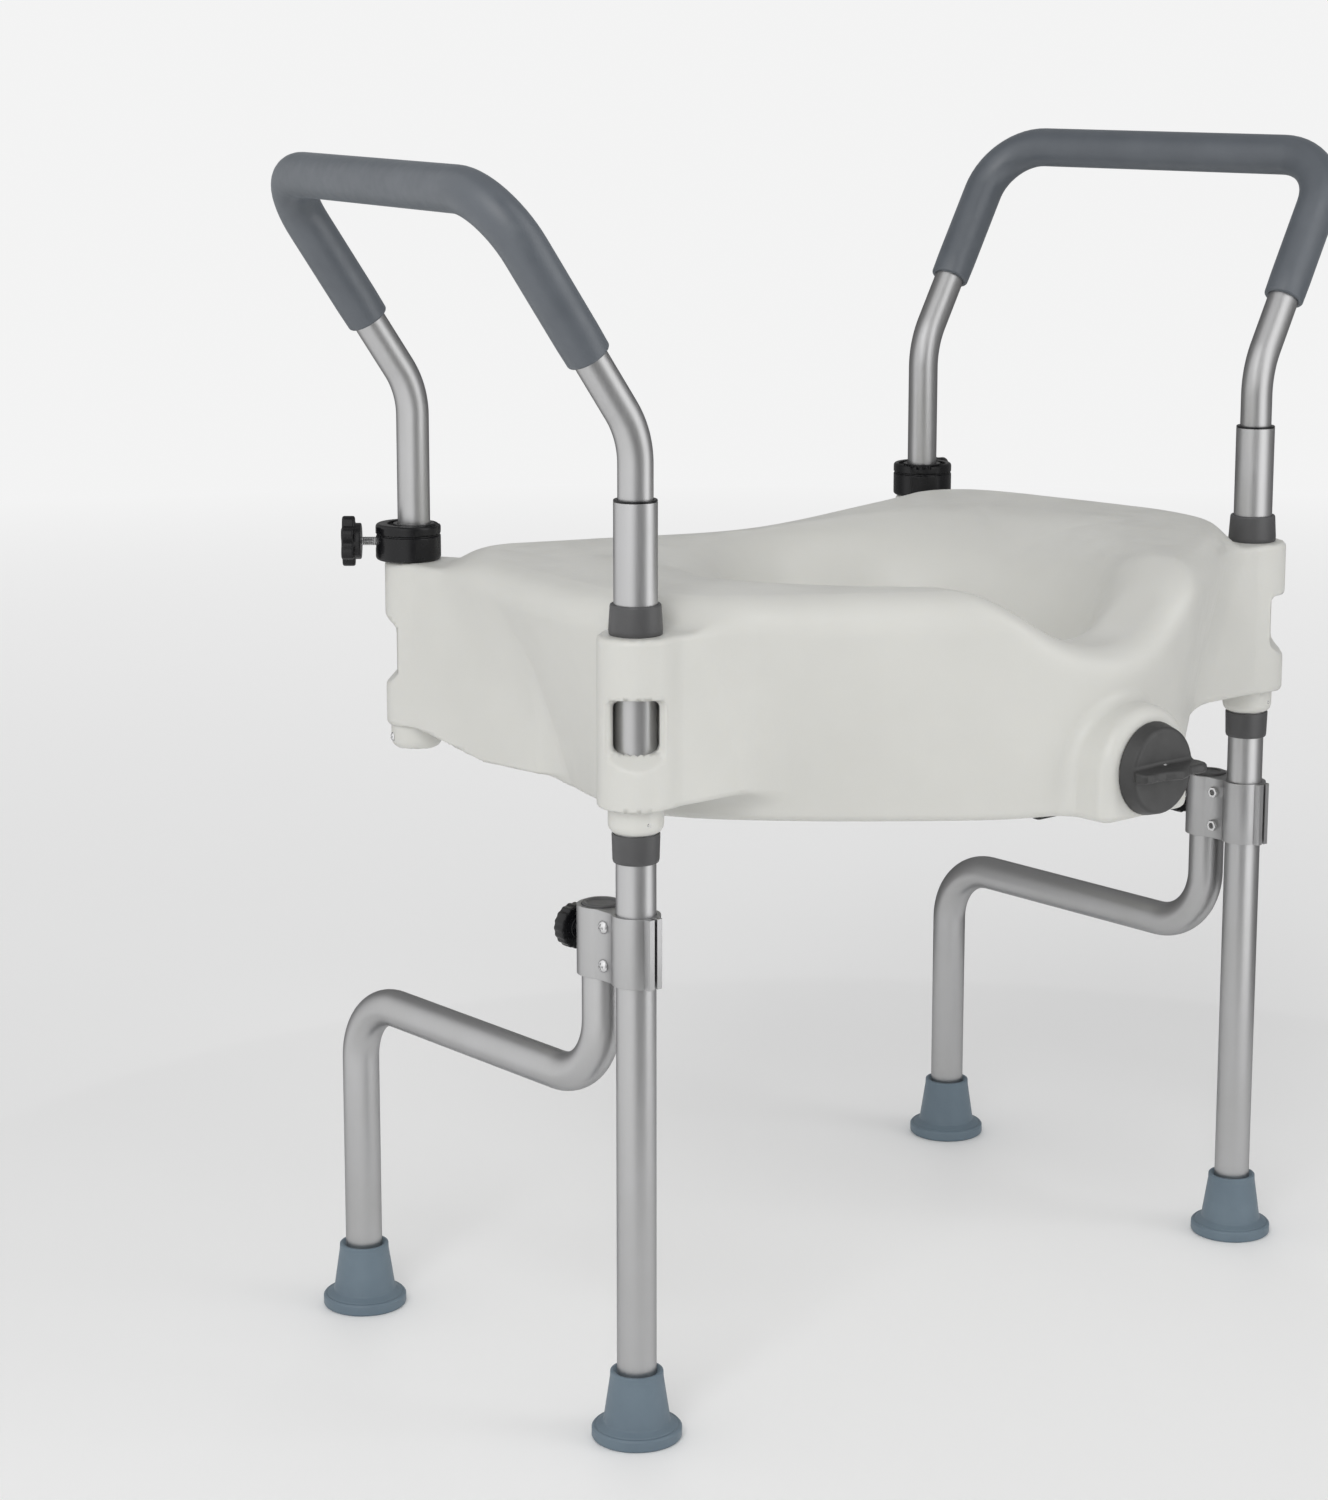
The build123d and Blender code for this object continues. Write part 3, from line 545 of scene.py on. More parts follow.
# A lug stands round the post at (x, y). Its webs are (x, y, radius), with y from the front posts. Its window
# faces a direction, is splayed from its mouth, and has a sloping top. Recess is the radius cut out above the
# lug, and fall is how far the webs' underside drops away from the post.
Lug = namedtuple("Lug", "x y radius top bore webs facing mouth slope recess fall")
LUGS = (
    Lug(FRONT_X, FRONT_Y, 22.0, FRONT_LUG_TOP, 11.5, ((196, -12, 10), (246, 46, 13)),
        (0.63, -0.78), 13.8, 0.15, 27.0, 0.0),
    Lug(REAR_X, REAR_Y, 18.0, CLAMP_BOTTOM, 11.7, ((206, 240, 16), (232, 158, 15)),
        (0.78, 0.63), 12.5, 0.9, 22.5, 13.0),
)
GRID_X, GRID_Y = (-6, 336), (FRONT_Y - 190, FRONT_Y + 330)  # what the grids cover
EDGE_STEP, LEVEL_STEP = 3, 2


def shoulder_height(x, y):
    """Level of the top before its edges are rounded: a dip at the rear, and the dish."""
    outside = hole_distance(x, y)
    width = np.maximum(DISH_SHARE * (outside - top_edge(x, y)), 12)
    rise = np.clip(1 - outside / width, 0, 1.25)
    rear = np.clip((y - FRONT_Y - 150) / 90, 0, 1)
    dip = 7 * np.exp(-((x / 105) ** 2)) * rear**2 * (3 - 2 * rear)
    return SEAT_TOP - DISH_DEPTH * rise**DISH_POWER - dip


def hole_distance(x, y):
    """Near the hole, the distance outside its oval edge."""
    u, v = x / HOLE_HALF_WIDTH, (y - HOLE_Y) / HOLE_HALF_LENGTH
    size = np.hypot(u, v) + 1e-6
    return size * (size - 1) / (np.hypot(u / HOLE_HALF_WIDTH, v / HOLE_HALF_LENGTH) + 1e-9)


def outline_grid(points):
    outline = smooth_outline([(x, y + FRONT_Y) for x, y in points])
    return PlanGrid(lambda x, y: distance_to_outline(outline, x, y), GRID_X, GRID_Y, EDGE_STEP)


bottom_edge, top_edge = outline_grid(BOTTOM_OUTLINE), outline_grid(TOP_OUTLINE)
top_level = PlanGrid(shoulder_height, GRID_X, GRID_Y, LEVEL_STEP)
top_tilt = PlanGrid(
    lambda x, y: np.sqrt(1 + sum(g**2 for g in np.gradient(top_level.values, LEVEL_STEP))),
    GRID_X, GRID_Y, LEVEL_STEP,
)


def web_distance(x, y, first, second):
    """Distance to the outline round two circles, each (x, y, radius)."""
    (ax, ay, ar), (bx, by, br) = first, second
    length = sqrt((bx - ax) ** 2 + (by - ay) ** 2)
    ux, uy = (bx - ax) / length, (by - ay) / length
    across = np.abs((x - ax) * uy - (y - ay) * ux)
    along = (x - ax) * ux + (y - ay) * uy
    lean = (ar - br) / length
    flat = sqrt(1 - lean * lean)
    spot = along * flat - across * lean
    side = across * flat + along * lean - ar
    far = np.hypot(across, along - length) - br
    return np.where(spot < 0, np.hypot(across, along) - ar, np.where(spot > flat * length, far, side))


def lug_field(x, y, z, lug):
    """One lug: its post's sleeve and webs above, and the narrower boss below."""
    sleeve = (lug.x, lug.y, lug.radius)
    plan = [web_distance(x, y, sleeve, (wx, wy + FRONT_Y, wr)) for wx, wy, wr in lug.webs]
    upper = round_max(round_min(*plan, 8), z - lug.top, 4)
    away = np.hypot(x - lug.x, y - lug.y)
    underside = LUG_STEP - lug.fall * np.clip((away - 25) / 60, 0, 1)
    upper = round_max(upper, underside - z, 2.5)
    boss = round_max(away - BOSS_R, BOSS_BOTTOM - z, 7)
    return round_min(upper, np.maximum(boss, z - LUG_STEP - 12), 1.5)


def lug_window(x, y, z, lug):
    """The pocket through a lug that shows the post, splayed towards its mouth."""
    nx, ny = lug.facing
    out = (x - lug.x) * nx + (y - lug.y) * ny
    across = np.abs((y - lug.y) * nx - (x - lug.x) * ny)
    depth, splay = np.clip(out - lug.mouth, 0, 16), 1.3 * np.clip(out - lug.mouth + 1.5, 0, 16)
    heights = round_max(WINDOW_BOTTOM - 0.9 * depth - z, z - WINDOW_TOP - lug.slope * depth, 1)
    return np.maximum(round_max(across - 14.3 - splay, heights, 4.5), -out)


def clamp_housing(x, y, z):
    """The arched boss that carries the dial."""
    arch = np.hypot(x, np.maximum(z - DIAL_Z, 0)) - HOUSING_R
    return np.maximum(round_max(arch, HOUSING_Y - y, 9), y - HOUSING_Y - 40)


def front_trough(x, y, z):
    """A cylinder lying front to back, whose lowest line is the trough's floor."""
    depth = SEAT_TOP - TROUGH_FLOOR
    radius = (TROUGH_HALF_WIDTH**2 + depth**2) / (2 * depth)
    return np.maximum(np.hypot(x, z - TROUGH_FLOOR - radius) - radius, y - HOLE_Y)


def clamp_pocket(x, y, z):
    """The pocket under the front for the spindle and the jaw."""
    sides = np.maximum(np.abs(x) - POCKET_HALF_WIDTH, np.abs(y - POCKET_Y) - POCKET_HALF_LENGTH)
    return np.maximum(sides, z - POCKET_TOP)


def seat_field(x, y, z):
    """The body with its shoulder, trough and hole, then the housing and lugs, then what is cut out."""
    x = np.abs(x)
    share = np.clip((z - SEAT_BOTTOM) / (SEAT_TOP - SEAT_BOTTOM), 0, 1)
    wall = bottom_edge(x, y) * (1 - share) + top_edge(x, y) * share
    body = round_max(wall, (z - top_level(x, y)) / top_tilt(x, y), SHOULDER)
    body = round_max(body, -front_trough(x, y, z), TROUGH_LIP)
    body = round_max(body, -hole_distance(x, y), HOLE_ROUNDING)
    for lug in LUGS:
        recess = round_max(np.hypot(x - lug.x, y - lug.y) - lug.recess, lug.top - z, 4)
        body = round_max(body, -recess, 7)
    body = round_min(body, clamp_housing(x, y, z), 8)
    body = round_max(body, SEAT_BOTTOM - z, 6)
    for lug in LUGS:
        body = round_min(body, lug_field(x, y, z, lug), LUG_BLEND)
    for lug in LUGS:
        body = round_max(body, lug.bore - np.hypot(x - lug.x, y - lug.y), 0.8)
        body = round_max(body, -lug_window(x, y, z, lug), 1.5)
    recess = round_max(bottom_edge(x, y) + RIM_LEDGE, z - RIM_Z, 3)
    body = round_max(body, -recess, 3)
    body = round_max(body, -clamp_pocket(x, y, z), 2)
    return np.maximum(body, BOSS_BOTTOM - 4.5 - z)


def seat_shell():
    step = 3.0
    edge = step * (int((FRONT_X + 26) / step) + 1)
    lowest, highest = (-edge, HOUSING_Y - 6, SEAT_BOTTOM - 5), (edge, REAR_Y + 22, SEAT_TOP + 5)
    field_piece(
        "seat", seat_field, lowest, highest, step, "seat", SHELL, ["seat_shell"]
    )


# --- Front clamp ---
# How far the wing stands out of the dial, at distances from its middle.
WING_REACH = [(0, 17.0), (6, 15.2), (12, 12.4), (18, 11.8), (24, 12.6), (28, 11.6), (30.5, 8.5)]


def dial_field(x, y, z):
    """A tapered disc with a wing across its face. Z is out of the seat."""
    disc = round_max(np.hypot(x, y) - DIAL_R + 3 * z / 11, z - 11, 2.2)
    disc = round_max(disc, -z, 0.8)
    span = np.abs(x)
    reach = 11 + np.interp(span, *zip(*WING_REACH))
    foot = 7 + np.maximum(span - 25, 0) * 1.4
    half = 2.9 + 1.1 * np.clip((reach - z) / 12, 0, 1)
    wing = round_max(np.abs(y) - half, z - reach, 2.4)
    wing = round_max(wing, np.maximum(span - 30.4, foot - z), 1.6)
    return round_min(disc, wing, 2.5)


def clamp_dial():
    placed = plane_at((0, DIAL_BACK, DIAL_Z), (0, -1, 0), (1, 0, 0))
    field_piece(
        "dial", dial_field, (-34, -32, -3), (34, 32, 32), 1.0, "dial", DIAL_PLASTIC, ["clamp_dial"], placed,
    )


def threaded_rod(name, placed, radius, length, pitch, body, stands_for):
    """A rod with a V thread along a frame's Z, and chamfered ends."""
    around, turns = 32, length / pitch
    rows = int(turns * 8)
    points, faces = [], []
    for row in range(rows + 1):
        along = length * row / rows
        for step in range(around):
            angle = 2 * pi * step / around
            phase = (along / pitch - step / around) % 1
            tip = min(along, length - along, 1.0)
            r = min(radius - 0.3 * pitch * abs(2 * phase - 1), radius - 1.0 + tip)
            points.append(placed @ Vector((r * cos(angle), r * sin(angle), along)))
    for row in range(rows):
        for step in range(around):
            here, after = row * around + step, row * around + (step + 1) % around
            faces.append([here, after, after + around, here + around])
    faces += [list(range(around))[::-1], list(range(rows * around, (rows + 1) * around))]
    make_piece(name, points, faces, body, STEEL, stands_for, sharp=50)


def clamp_spindle():
    near, far = low("clamp_spindle").y, high("clamp_spindle").y
    placed = plane_at((0, far, DIAL_Z), (0, -1, 0))
    threaded_rod("spindle", placed, 5.0, far - near, 3.0, "dial", ["clamp_spindle"])


def spindle_clip():
    """E-shaped retaining ring."""
    placed = plane_at((0, low("spindle_clip").y, DIAL_Z), (0, 1, 0), (1, 0, 0))
    ring = []
    for radius, angles in ((9, range(-250, 71, 10)), (5, range(70, -251, -10))):
        ring += [(radius * cos(radians(a)), radius * sin(radians(a))) for a in angles]
    points, faces = plate([ring], 0, 2, 0.3, placed)
    make_piece("retaining_ring", points, faces, "dial", STEEL, ["spindle_clip"])


def rounded_rectangle(width, height, corner, steps=6, x=0.0, y=0.0):
    points = []
    for sx, sy, start in ((1, 1, 0), (-1, 1, 90), (-1, -1, 180), (1, -1, 270)):
        for step in range(steps + 1):
            angle = radians(start + 90 * step / steps)
            points.append((
                x + sx * (width / 2 - corner) + corner * cos(angle),
                y + sy * (height / 2 - corner) + corner * sin(angle),
            ))
    return points


def clamp_jaw():
    """Plate on the spindle with ribs at its back, and a grooved rubber pad on its lower front."""
    lowest, highest = low("clamp_jaw"), high("clamp_jaw")
    centre_z = (lowest.z + highest.z) / 2
    placed = plane_at((0, lowest.y, centre_z), (0, 1, 0), (-1, 0, 0))
    outline = rounded_rectangle(highest.x - lowest.x, highest.z - lowest.z, 7)
    boss, bore = (circle(radius, 0, centre_z - DIAL_Z) for radius in (10, 5.1))
    points, faces = joined(
        plate([outline, bore], 0, 5, 1.2, placed),
        *(plate([rounded_rectangle(5, 56, 2, x=x)], 4, 8, 0.8, placed) for x in (17, -17)),
        plate([boss, bore], 4, 13, 0.8, placed),
    )
    make_piece("jaw", points, faces, "jaw", BLACK_PLASTIC, ["clamp_jaw"])
    pad_low, pad_high = low("jaw_pad"), high("jaw_pad")
    pad = plane_at((0, pad_high.y, (pad_low.z + pad_high.z) / 2), (0, -1, 0), (1, 0, 0))
    strips = [plate([rounded_rectangle(44, 24, 4)], 0, 1.8, 0.4, pad)]
    for row in range(5):
        strips.append(plate([rounded_rectangle(40, 2.6, 1.2, y=4.4 * (row - 2))], 1.4, 3, 0.5, pad))
    make_piece("jaw_rubber", *joined(*strips), "jaw", PAD_RUBBER, ["jaw_pad"])


# --- Screws ---
def pan_head_field(radius, height):
    def field(x, y, z):
        """A domed head with a cross recess. Z is out of the surface."""
        dome = (radius**2 + height**2) / (2 * height)
        head = np.sqrt(x**2 + y**2 + (z - height + dome) ** 2) - dome
        head = round_max(np.maximum(head, np.hypot(x, y) - radius + 0.1), -z, 0.3)
        slot = radius * 0.15
        depth = height * 0.45 - z
        for a, b in ((x, y), (y, x)):
            cut = np.maximum(np.maximum(np.abs(a) - slot, np.abs(b) - radius * 0.55), depth)
            head = round_max(head, -cut, 0.15)
        return head
    return field


def pan_head(name, place, direction, radius, height, body, stands_for):
    edge = radius + 0.6
    field_piece(
        name, pan_head_field(radius, height), (-edge, -edge, -0.6), (edge, edge, height + 0.6), 0.3,
        body, STEEL, stands_for, plane_at(place, direction),
    )


def boss_screws(name, side):
    """A domed screw head in the front of the lower boss, and a pan head on the rear one."""
    front = Vector((side * 0.2, -1, 0)).normalized()
    spot = Vector((side * FRONT_X, FRONT_Y, BOSS_SCREW_Z)) + front * (BOSS_R - 1.0)
    pan_head(f"leg_lock_screw_{name}_head", spot, front, 2.3, 1.4, "seat", [f"leg_lock_screw_{name}"])
    rear = Vector((side, 0.3, 0)).normalized()
    spot = Vector((side * REAR_X, REAR_Y, BOSS_SCREW_Z)) + rear * (BOSS_R - 0.2)
    pan_head(f"guide_screw_{name}", spot, rear, 3.2, 1.7, "seat", [f"rear_guide_screw_{name}"])


# --- Posts, collars and clamps ---
def turned_piece(name, x, y, corners, body, finish, stands_for, sharp=35):
    """A ring turned about an upright axis, from (radius, level, rounding) corners."""
    points, faces = revolved(rounded_loop(corners), Matrix.Translation((x, y, 0)), 80)
    make_piece(name, points, faces, body, finish, stands_for, sharp)


def front_post(name, side):
    x, y = side * FRONT_X, FRONT_Y
    turned_piece(
        f"post_{name}", x, y,
        [(POST_BORE, POST_BOTTOM, 0.2), (POST_R, POST_BOTTOM, 0.3), (POST_R, POST_TOP, 0.4),
         (POST_BORE, POST_TOP, 0.2)],
        "seat", TUBE, [f"front_post_{name}"],
    )
    turned_piece(
        f"post_lip_{name}", x, y,
        [(HANDLE_R + 0.1, POST_TOP - 30, 0.3), (POST_BORE, POST_TOP - 30, 0.3),
         (POST_BORE, POST_TOP + 0.1, 0), (POST_R, POST_TOP + 0.1, 0.2),
         (POST_R - 0.1, POST_TOP + 1.3, 0.5), (HANDLE_R + 0.1, POST_TOP + 1.3, 0.3)],
        "seat", BLACK_PLASTIC, [f"post_bush_{name}"],
    )


def collars(name, side):
    x, y = side * FRONT_X, FRONT_Y
    inner = POST_R + 0.05
    turned_piece(
        f"collar_above_{name}", x, y,
        [(inner, FRONT_LUG_TOP + 0.1, 0), (16.6, FRONT_LUG_TOP + 0.1, 0.5), (16.9, FRONT_LUG_TOP + 3, 3),
         (16.0, COLLAR_TOP - 1.4, 2), (15.6, COLLAR_TOP, 0.9), (inner, COLLAR_TOP, 0.5)],
        "seat", DARK_PLASTIC, [f"upper_collar_{name}"],
    )
    inner = LEG_R + 0.1
    turned_piece(
        f"collar_below_{name}", x, y,
        [(inner, COLLAR_BOTTOM, 0.5), (14.2, COLLAR_BOTTOM, 0.9), (14.7, COLLAR_BOTTOM + 2, 2),
         (15.2, BOSS_BOTTOM + 0.5, 0.6), (POST_R, BOSS_BOTTOM + 0.5, 0), (POST_R, POST_BOTTOM, 0),
         (inner, POST_BOTTOM, 0)],
        "seat", DARK_PLASTIC, [f"lower_collar_{name}"],
    )


KNOB_REACH, KNOB_ANGLE = 36.0, radians(39.0)


def knob_axis(side, distance):
    """The frame of a star knob's axis, at a distance from the rear post."""
    way = Vector((side * cos(KNOB_ANGLE), sin(KNOB_ANGLE), 0))
    spot = Vector((side * REAR_X, REAR_Y, (CLAMP_TOP + CLAMP_BOTTOM) / 2)) + way * distance
    return plane_at(spot, way, UP)


def clamp_ring_field(x, y, z):
    """An eccentric ring about the post at the origin, thick towards +X."""
    height = CLAMP_HEIGHT
    around = np.arctan2(y, x)
    ring = round_max(np.hypot(x - 4, y) - 22.3, np.abs(z - height / 2) - height / 2, 2.4)
    waist = np.maximum(np.abs(z - height + 7.5) - 0.6, 21.5 - np.hypot(x - 4, y))
    ring = round_max(ring, -waist, 0.4)
    radius = np.hypot(x, y)
    teeth = 0.9 * np.clip(3 * np.sin(24 * around), -1, 1)
    groove = np.maximum(np.abs(radius - 16.2) - 1.9, height - 2.3 + teeth - z)
    ring = round_max(ring, -groove, 0.4)
    bolt_hole = np.maximum(np.hypot(y, z - height / 2) - 4.6, -x)
    ring = round_max(ring, -bolt_hole, 0.8)
    return round_max(ring, HANDLE_R + 0.12 - radius, 0.5)


def rear_clamp(name, side):
    way = knob_axis(side, 0).col[2].to_3d()
    placed = plane_at((side * REAR_X, REAR_Y, CLAMP_BOTTOM), UP, way)
    field_piece(
        f"clamp_ring_{name}", clamp_ring_field, (-20, -24, -1.6), (28, 24, CLAMP_HEIGHT + 1.6), 0.85,
        "seat", BLACK_PLASTIC, [f"rear_clamp_{name}"], placed,
    )
    guide_low, guide_high = low(f"rear_guide_{name}").z, high(f"rear_guide_{name}").z
    turned_piece(
        f"guide_bush_{name}", side * REAR_X, REAR_Y,
        [(HANDLE_R + 0.1, guide_low, 0.5), (13.1, guide_low, 0.5), (13.1, guide_high, 0.5),
         (HANDLE_R + 0.1, guide_high, 0.5)],
        "seat", SHELL, [f"rear_guide_{name}"],
    )


def star_knob_field(x, y, z):
    """A flange, then six rounded lobes with a dished face. Z is away from the clamp."""
    radius, around = np.hypot(x, y), np.arctan2(y, x)
    flange = round_max(radius - 12.4, np.abs(z - 2.2) - 2.2, 0.8)
    fold = (around + pi / 6) % (pi / 3) - pi / 6
    lobe = np.hypot(radius * np.cos(fold) - 12.6, radius * np.sin(fold)) - 4.7
    star = round_min(lobe, radius - 12.2, 3)
    star = round_max(star, np.abs(z - 8.6) - 4.4, 1.5)
    dish = np.sqrt(x**2 + y**2 + (z - 29.5) ** 2) - 18.2
    star = round_max(star, -dish, 0.8)
    hub = round_max(radius - 4.5, z - 12.4, 0.8)
    knob = round_min(round_min(flange, star, 0.8), np.maximum(hub, 2 - z), 0.8)
    return np.maximum(knob, -z)


def star_knob(name, side):
    """The knob, and its bolt from just outside the handle's tube into the knob."""
    body = f"star_knob_{name}"
    field_piece(
        f"{body}_head", star_knob_field, (-19, -19, -1.5), (19, 19, 14.5), 0.8, body,
        BLACK_PLASTIC, [body], knob_axis(side, KNOB_REACH),
    )
    threaded_rod(
        f"star_bolt_{name}", knob_axis(side, HANDLE_R + 0.3), 3.0, KNOB_REACH + 6 - HANDLE_R, 1.25,
        body, [f"star_knob_bolt_{name}"],
    )


# --- Handles ---
HANDLE_BEND_Z, HANDLE_TOP_Z, HANDLE_OUT = 645.0, 793.0, 98.0
HANDLE_BEND, HANDLE_CORNER, GRIP_START = 60.0, 42.0, 58.0


def handle_corners(side):
    """The handle's bends, front to rear. Above the lower two it leans out, square to its posts."""
    front = Vector((side * FRONT_X, FRONT_Y, HANDLE_BEND_Z))
    rear = Vector((side * REAR_X, REAR_Y, HANDLE_BEND_Z))
    along = (rear - front).normalized()
    rise = Vector((side * along.y, -side * along.x, 0)) * HANDLE_OUT + UP * (HANDLE_TOP_Z - HANDLE_BEND_Z)
    return front, front + rise, rear + rise, rear


def handle(name, side):
    body = f"handle_{name}"
    front, front_top, rear_top, rear = corners = handle_corners(side)
    ends = (front.x, front.y, HANDLE_FRONT_END), (rear.x, rear.y, HANDLE_REAR_END)
    bends = [HANDLE_BEND, HANDLE_CORNER, HANDLE_CORNER, HANDLE_BEND]
    path = filleted([ends[0], *corners, ends[1]], bends, 14)
    points, faces = swept(path, tube_section(path_length(path), HANDLE_R, HANDLE_BORE), 44)
    make_piece(f"{body}_tube", points, faces, body, TUBE, [f"handle_tube_{name}"])
    rise = (front_top - front).normalized() * GRIP_START
    path = filleted([front + rise, front_top, rear_top, rear + rise], [HANDLE_CORNER] * 2, 14)
    length = path_length(path)
    section = rounded_loop([
        (HANDLE_R + 0.02, 0.3, 0.4), (GRIP_R - 0.3, 0, 1.8), (GRIP_R, 16, 12), (GRIP_R, length - 16, 12),
        (GRIP_R - 0.3, length, 1.8), (HANDLE_R + 0.02, length - 0.3, 0.4),
    ])
    points, faces = swept(path, [(along, r) for r, along in section], 48)
    grip = make_piece(f"grip_{name}", points, faces, body, FOAM, [f"handle_grip_{name}"], 60)


# --- Legs ---
CROSSBAR_Z, LEG_BEND, LEG_WALL = 225.0, 45.0, 1.4
LEG_BORE, REAR_LEG_TOP = LEG_R - LEG_WALL, BRACKET_TOP - 1
BARREL_R, SOCKET_R, WEB_HALF, LIP_HALF, SLOT_HALF = 15.6, 15.8, 12.6, 5.6, 1.1
PINCH_Y, PINCH_LEVELS = FRONT_Y + 17, (310.0, 335.0)
LEG_KNOB_Z, LEG_KNOB_RIBS = 325.0, 18


def front_leg(name, side):
    x, y = side * FRONT_X, FRONT_Y
    turned_piece(
        f"leg_{name}_tube", x, y,
        [(LEG_BORE, FOOT_SOLE, 0), (LEG_R, FOOT_SOLE, 0.3), (LEG_R, LEG_TOP, 0.4), (LEG_BORE, LEG_TOP, 0)],
        f"leg_{name}", TUBE, [f"front_leg_{name}"],
    )
    foot(f"foot_{name}", x, y, f"leg_{name}", f"front_foot_{name}")


def foot(name, x, y, body, stands_for):
    """Rubber tip: a wide sole with a bead round it and a tapered cup with a lipped mouth."""
    top, cup = FOOT_HEIGHT, LEG_R + 0.02
    turned_piece(
        name, x, y,
        [(0.01, FOOT_SOLE, 0), (0.01, 3, 0), (16, 3, 1.5), (17.5, 0, 1), (FOOT_R - 1, 0, 0.7),
         (FOOT_R, 1.2, 0.8), (FOOT_R, 6.8, 0.8), (FOOT_R - 1.2, 8.2, 0.7), (FOOT_R - 2.6, 8, 0.5),
         (FOOT_R - 3.4, 8.8, 0.8), (21.6, 11, 1.6), (17.2, top - 4.6, 1), (17.0, top - 0.2, 0.9),
         (15.2, top, 0.9), (cup, top - 1.6, 0), (cup, FOOT_SOLE, 0)],
        body, FOOT_RUBBER, [stands_for], sharp=28,
    )


def rear_leg(name, side):
    x, body = side * FRONT_X, f"rear_leg_{name}"
    top, plug = REAR_LEG_TOP, LEG_BORE - 0.05
    corners = ((SOCKET_Y, top), (SOCKET_Y, CROSSBAR_Z), (REAR_FOOT_Y, CROSSBAR_Z), (REAR_FOOT_Y, FOOT_SOLE))
    path = filleted([(x, y, z) for y, z in corners], [LEG_BEND] * 2, 20)
    section = tube_section(path_length(path), LEG_R, LEG_BORE)
    make_piece(f"{body}_tube", *swept(path, section, 44), body, TUBE, [body])
    turned_piece(
        f"{body}_cap", x, SOCKET_Y,
        [(0.01, top - 12, 0), (plug, top - 12, 1), (plug, top + 0.1, 0), (LEG_R - 0.1, top + 0.1, 0.2),
         (LEG_R - 0.2, top + 2.4, 1), (9.4, top + 2.4, 0.6), (8.6, top + 1.2, 0.6), (0.01, top + 1.2, 0)],
        body, DARK_PLASTIC, [f"rear_leg_plug_{name}"],
    )
    foot(f"{body}_foot", x, REAR_FOOT_Y, body, f"rear_foot_{name}")


def arc(radius, start, end, centre_y, steps=24):
    """Points of an arc about (0, centre_y). Angles are in radians from +X."""
    angles = [start + (end - start) * k / steps for k in range(steps + 1)]
    return [(radius * cos(angle), centre_y + radius * sin(angle)) for angle in angles]


def bracket_outline():
    """The extrusion's section about the leg: a split barrel with two lips, a web, and the socket."""
    reach = SOCKET_Y - FRONT_Y
    lip, slot = -BARREL_R - 3.6, atan2(SLOT_HALF, LEG_R)
    lip_angle = atan2(LIP_HALF, sqrt(BARREL_R**2 - LIP_HALF**2))
    web_low, web_high = (atan2(sqrt(r**2 - WEB_HALF**2), WEB_HALF) for r in (BARREL_R, SOCKET_R))
    down = -pi / 2
    return (
        [(SLOT_HALF, lip), (LIP_HALF - 0.8, lip), (LIP_HALF, lip + 0.8)]
        + arc(BARREL_R, down + lip_angle, web_low, 0)
        + arc(SOCKET_R, -web_high, pi + web_high, reach, 40)
        + arc(BARREL_R, pi - web_low, 3 * pi / 2 - lip_angle, 0)
        + [(-LIP_HALF, lip + 0.8), (0.8 - LIP_HALF, lip), (-SLOT_HALF, lip)]
        + arc(LEG_R + 0.05, down - slot + 2 * pi, down + slot, 0, 48)
    )


def leg_bracket(name, side):
    x, body = side * FRONT_X, f"leg_{name}"
    placed = plane_at((x, FRONT_Y, 0), UP, (1, 0, 0))
    socket = circle(LEG_R + 0.12, 0, SOCKET_Y - FRONT_Y)
    points, faces = plate([bracket_outline(), socket], BRACKET_BOTTOM, BRACKET_TOP, 0.35, placed)
    make_piece(f"bracket_{name}", points, faces, body, BRACKET, [f"leg_bracket_{name}"])
    nuts, nut = [], circle(4.2, steps=6)
    for index, level in enumerate(PINCH_LEVELS):
        outside = (side * (FRONT_X + WEB_HALF), PINCH_Y, level)
        pan_head(
            f"web_screw_{name}_{index + 1}", outside, (side, 0, 0), 4.4, 3, body, [f"bracket_screws_{name}"]
        )
        inside = plane_at((side * (FRONT_X - WEB_HALF), PINCH_Y, level), (-side, 0, 0))
        nuts.append(plate([nut, circle(2)], 0, 3.2, 0.35, inside))
    make_piece(f"web_nuts_{name}", *joined(*nuts), body, STEEL, [f"bracket_nuts_{name}"])


def leg_knob(name, side):
    """Ribbed round knob behind the socket, on a threaded bolt."""
    x, body = side * FRONT_X, f"leg_knob_{name}"
    placed = plane_at((x, low(f"leg_knob_{name}").y, LEG_KNOB_Z), (0, 1, 0))
    angles = [2 * pi * step / 144 for step in range(144)]
    reach = [14.2 + 0.3 * cos(LEG_KNOB_RIBS * angle) for angle in angles]
    ribs = [(r * cos(angle), r * sin(angle)) for r, angle in zip(reach, angles)]
    points, faces = joined(
        plate([circle(8)], 0, 2.4, 0.4, placed), plate([ribs], 2, 11, 1.3, placed, 4),
        plate([circle(6)], 10.6, 11.0, 0.15, placed),
    )
    make_piece(f"{body}_head", points, faces, body, BLACK_PLASTIC, [body])
    bolt = f"leg_knob_bolt_{name}"
    start, end = low(bolt).y, high(bolt).y
    placed = plane_at((x, start, LEG_KNOB_Z), (0, 1, 0))
    threaded_rod(f"leg_bolt_{name}", placed, 3.0, end - start - 2, 1.25, body, [bolt])


seat_shell()
clamp_dial()
clamp_spindle()
spindle_clip()
clamp_jaw()
for name, side in SIDES.items():
    for make in (
        boss_screws, front_post, collars, rear_clamp, star_knob, handle, front_leg, rear_leg, leg_bracket,
        leg_knob,
    ):
        make(name, side)
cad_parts["rim_pads"].data.materials.clear()
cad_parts["rim_pads"].data.materials.append(PAD_RUBBER[1])


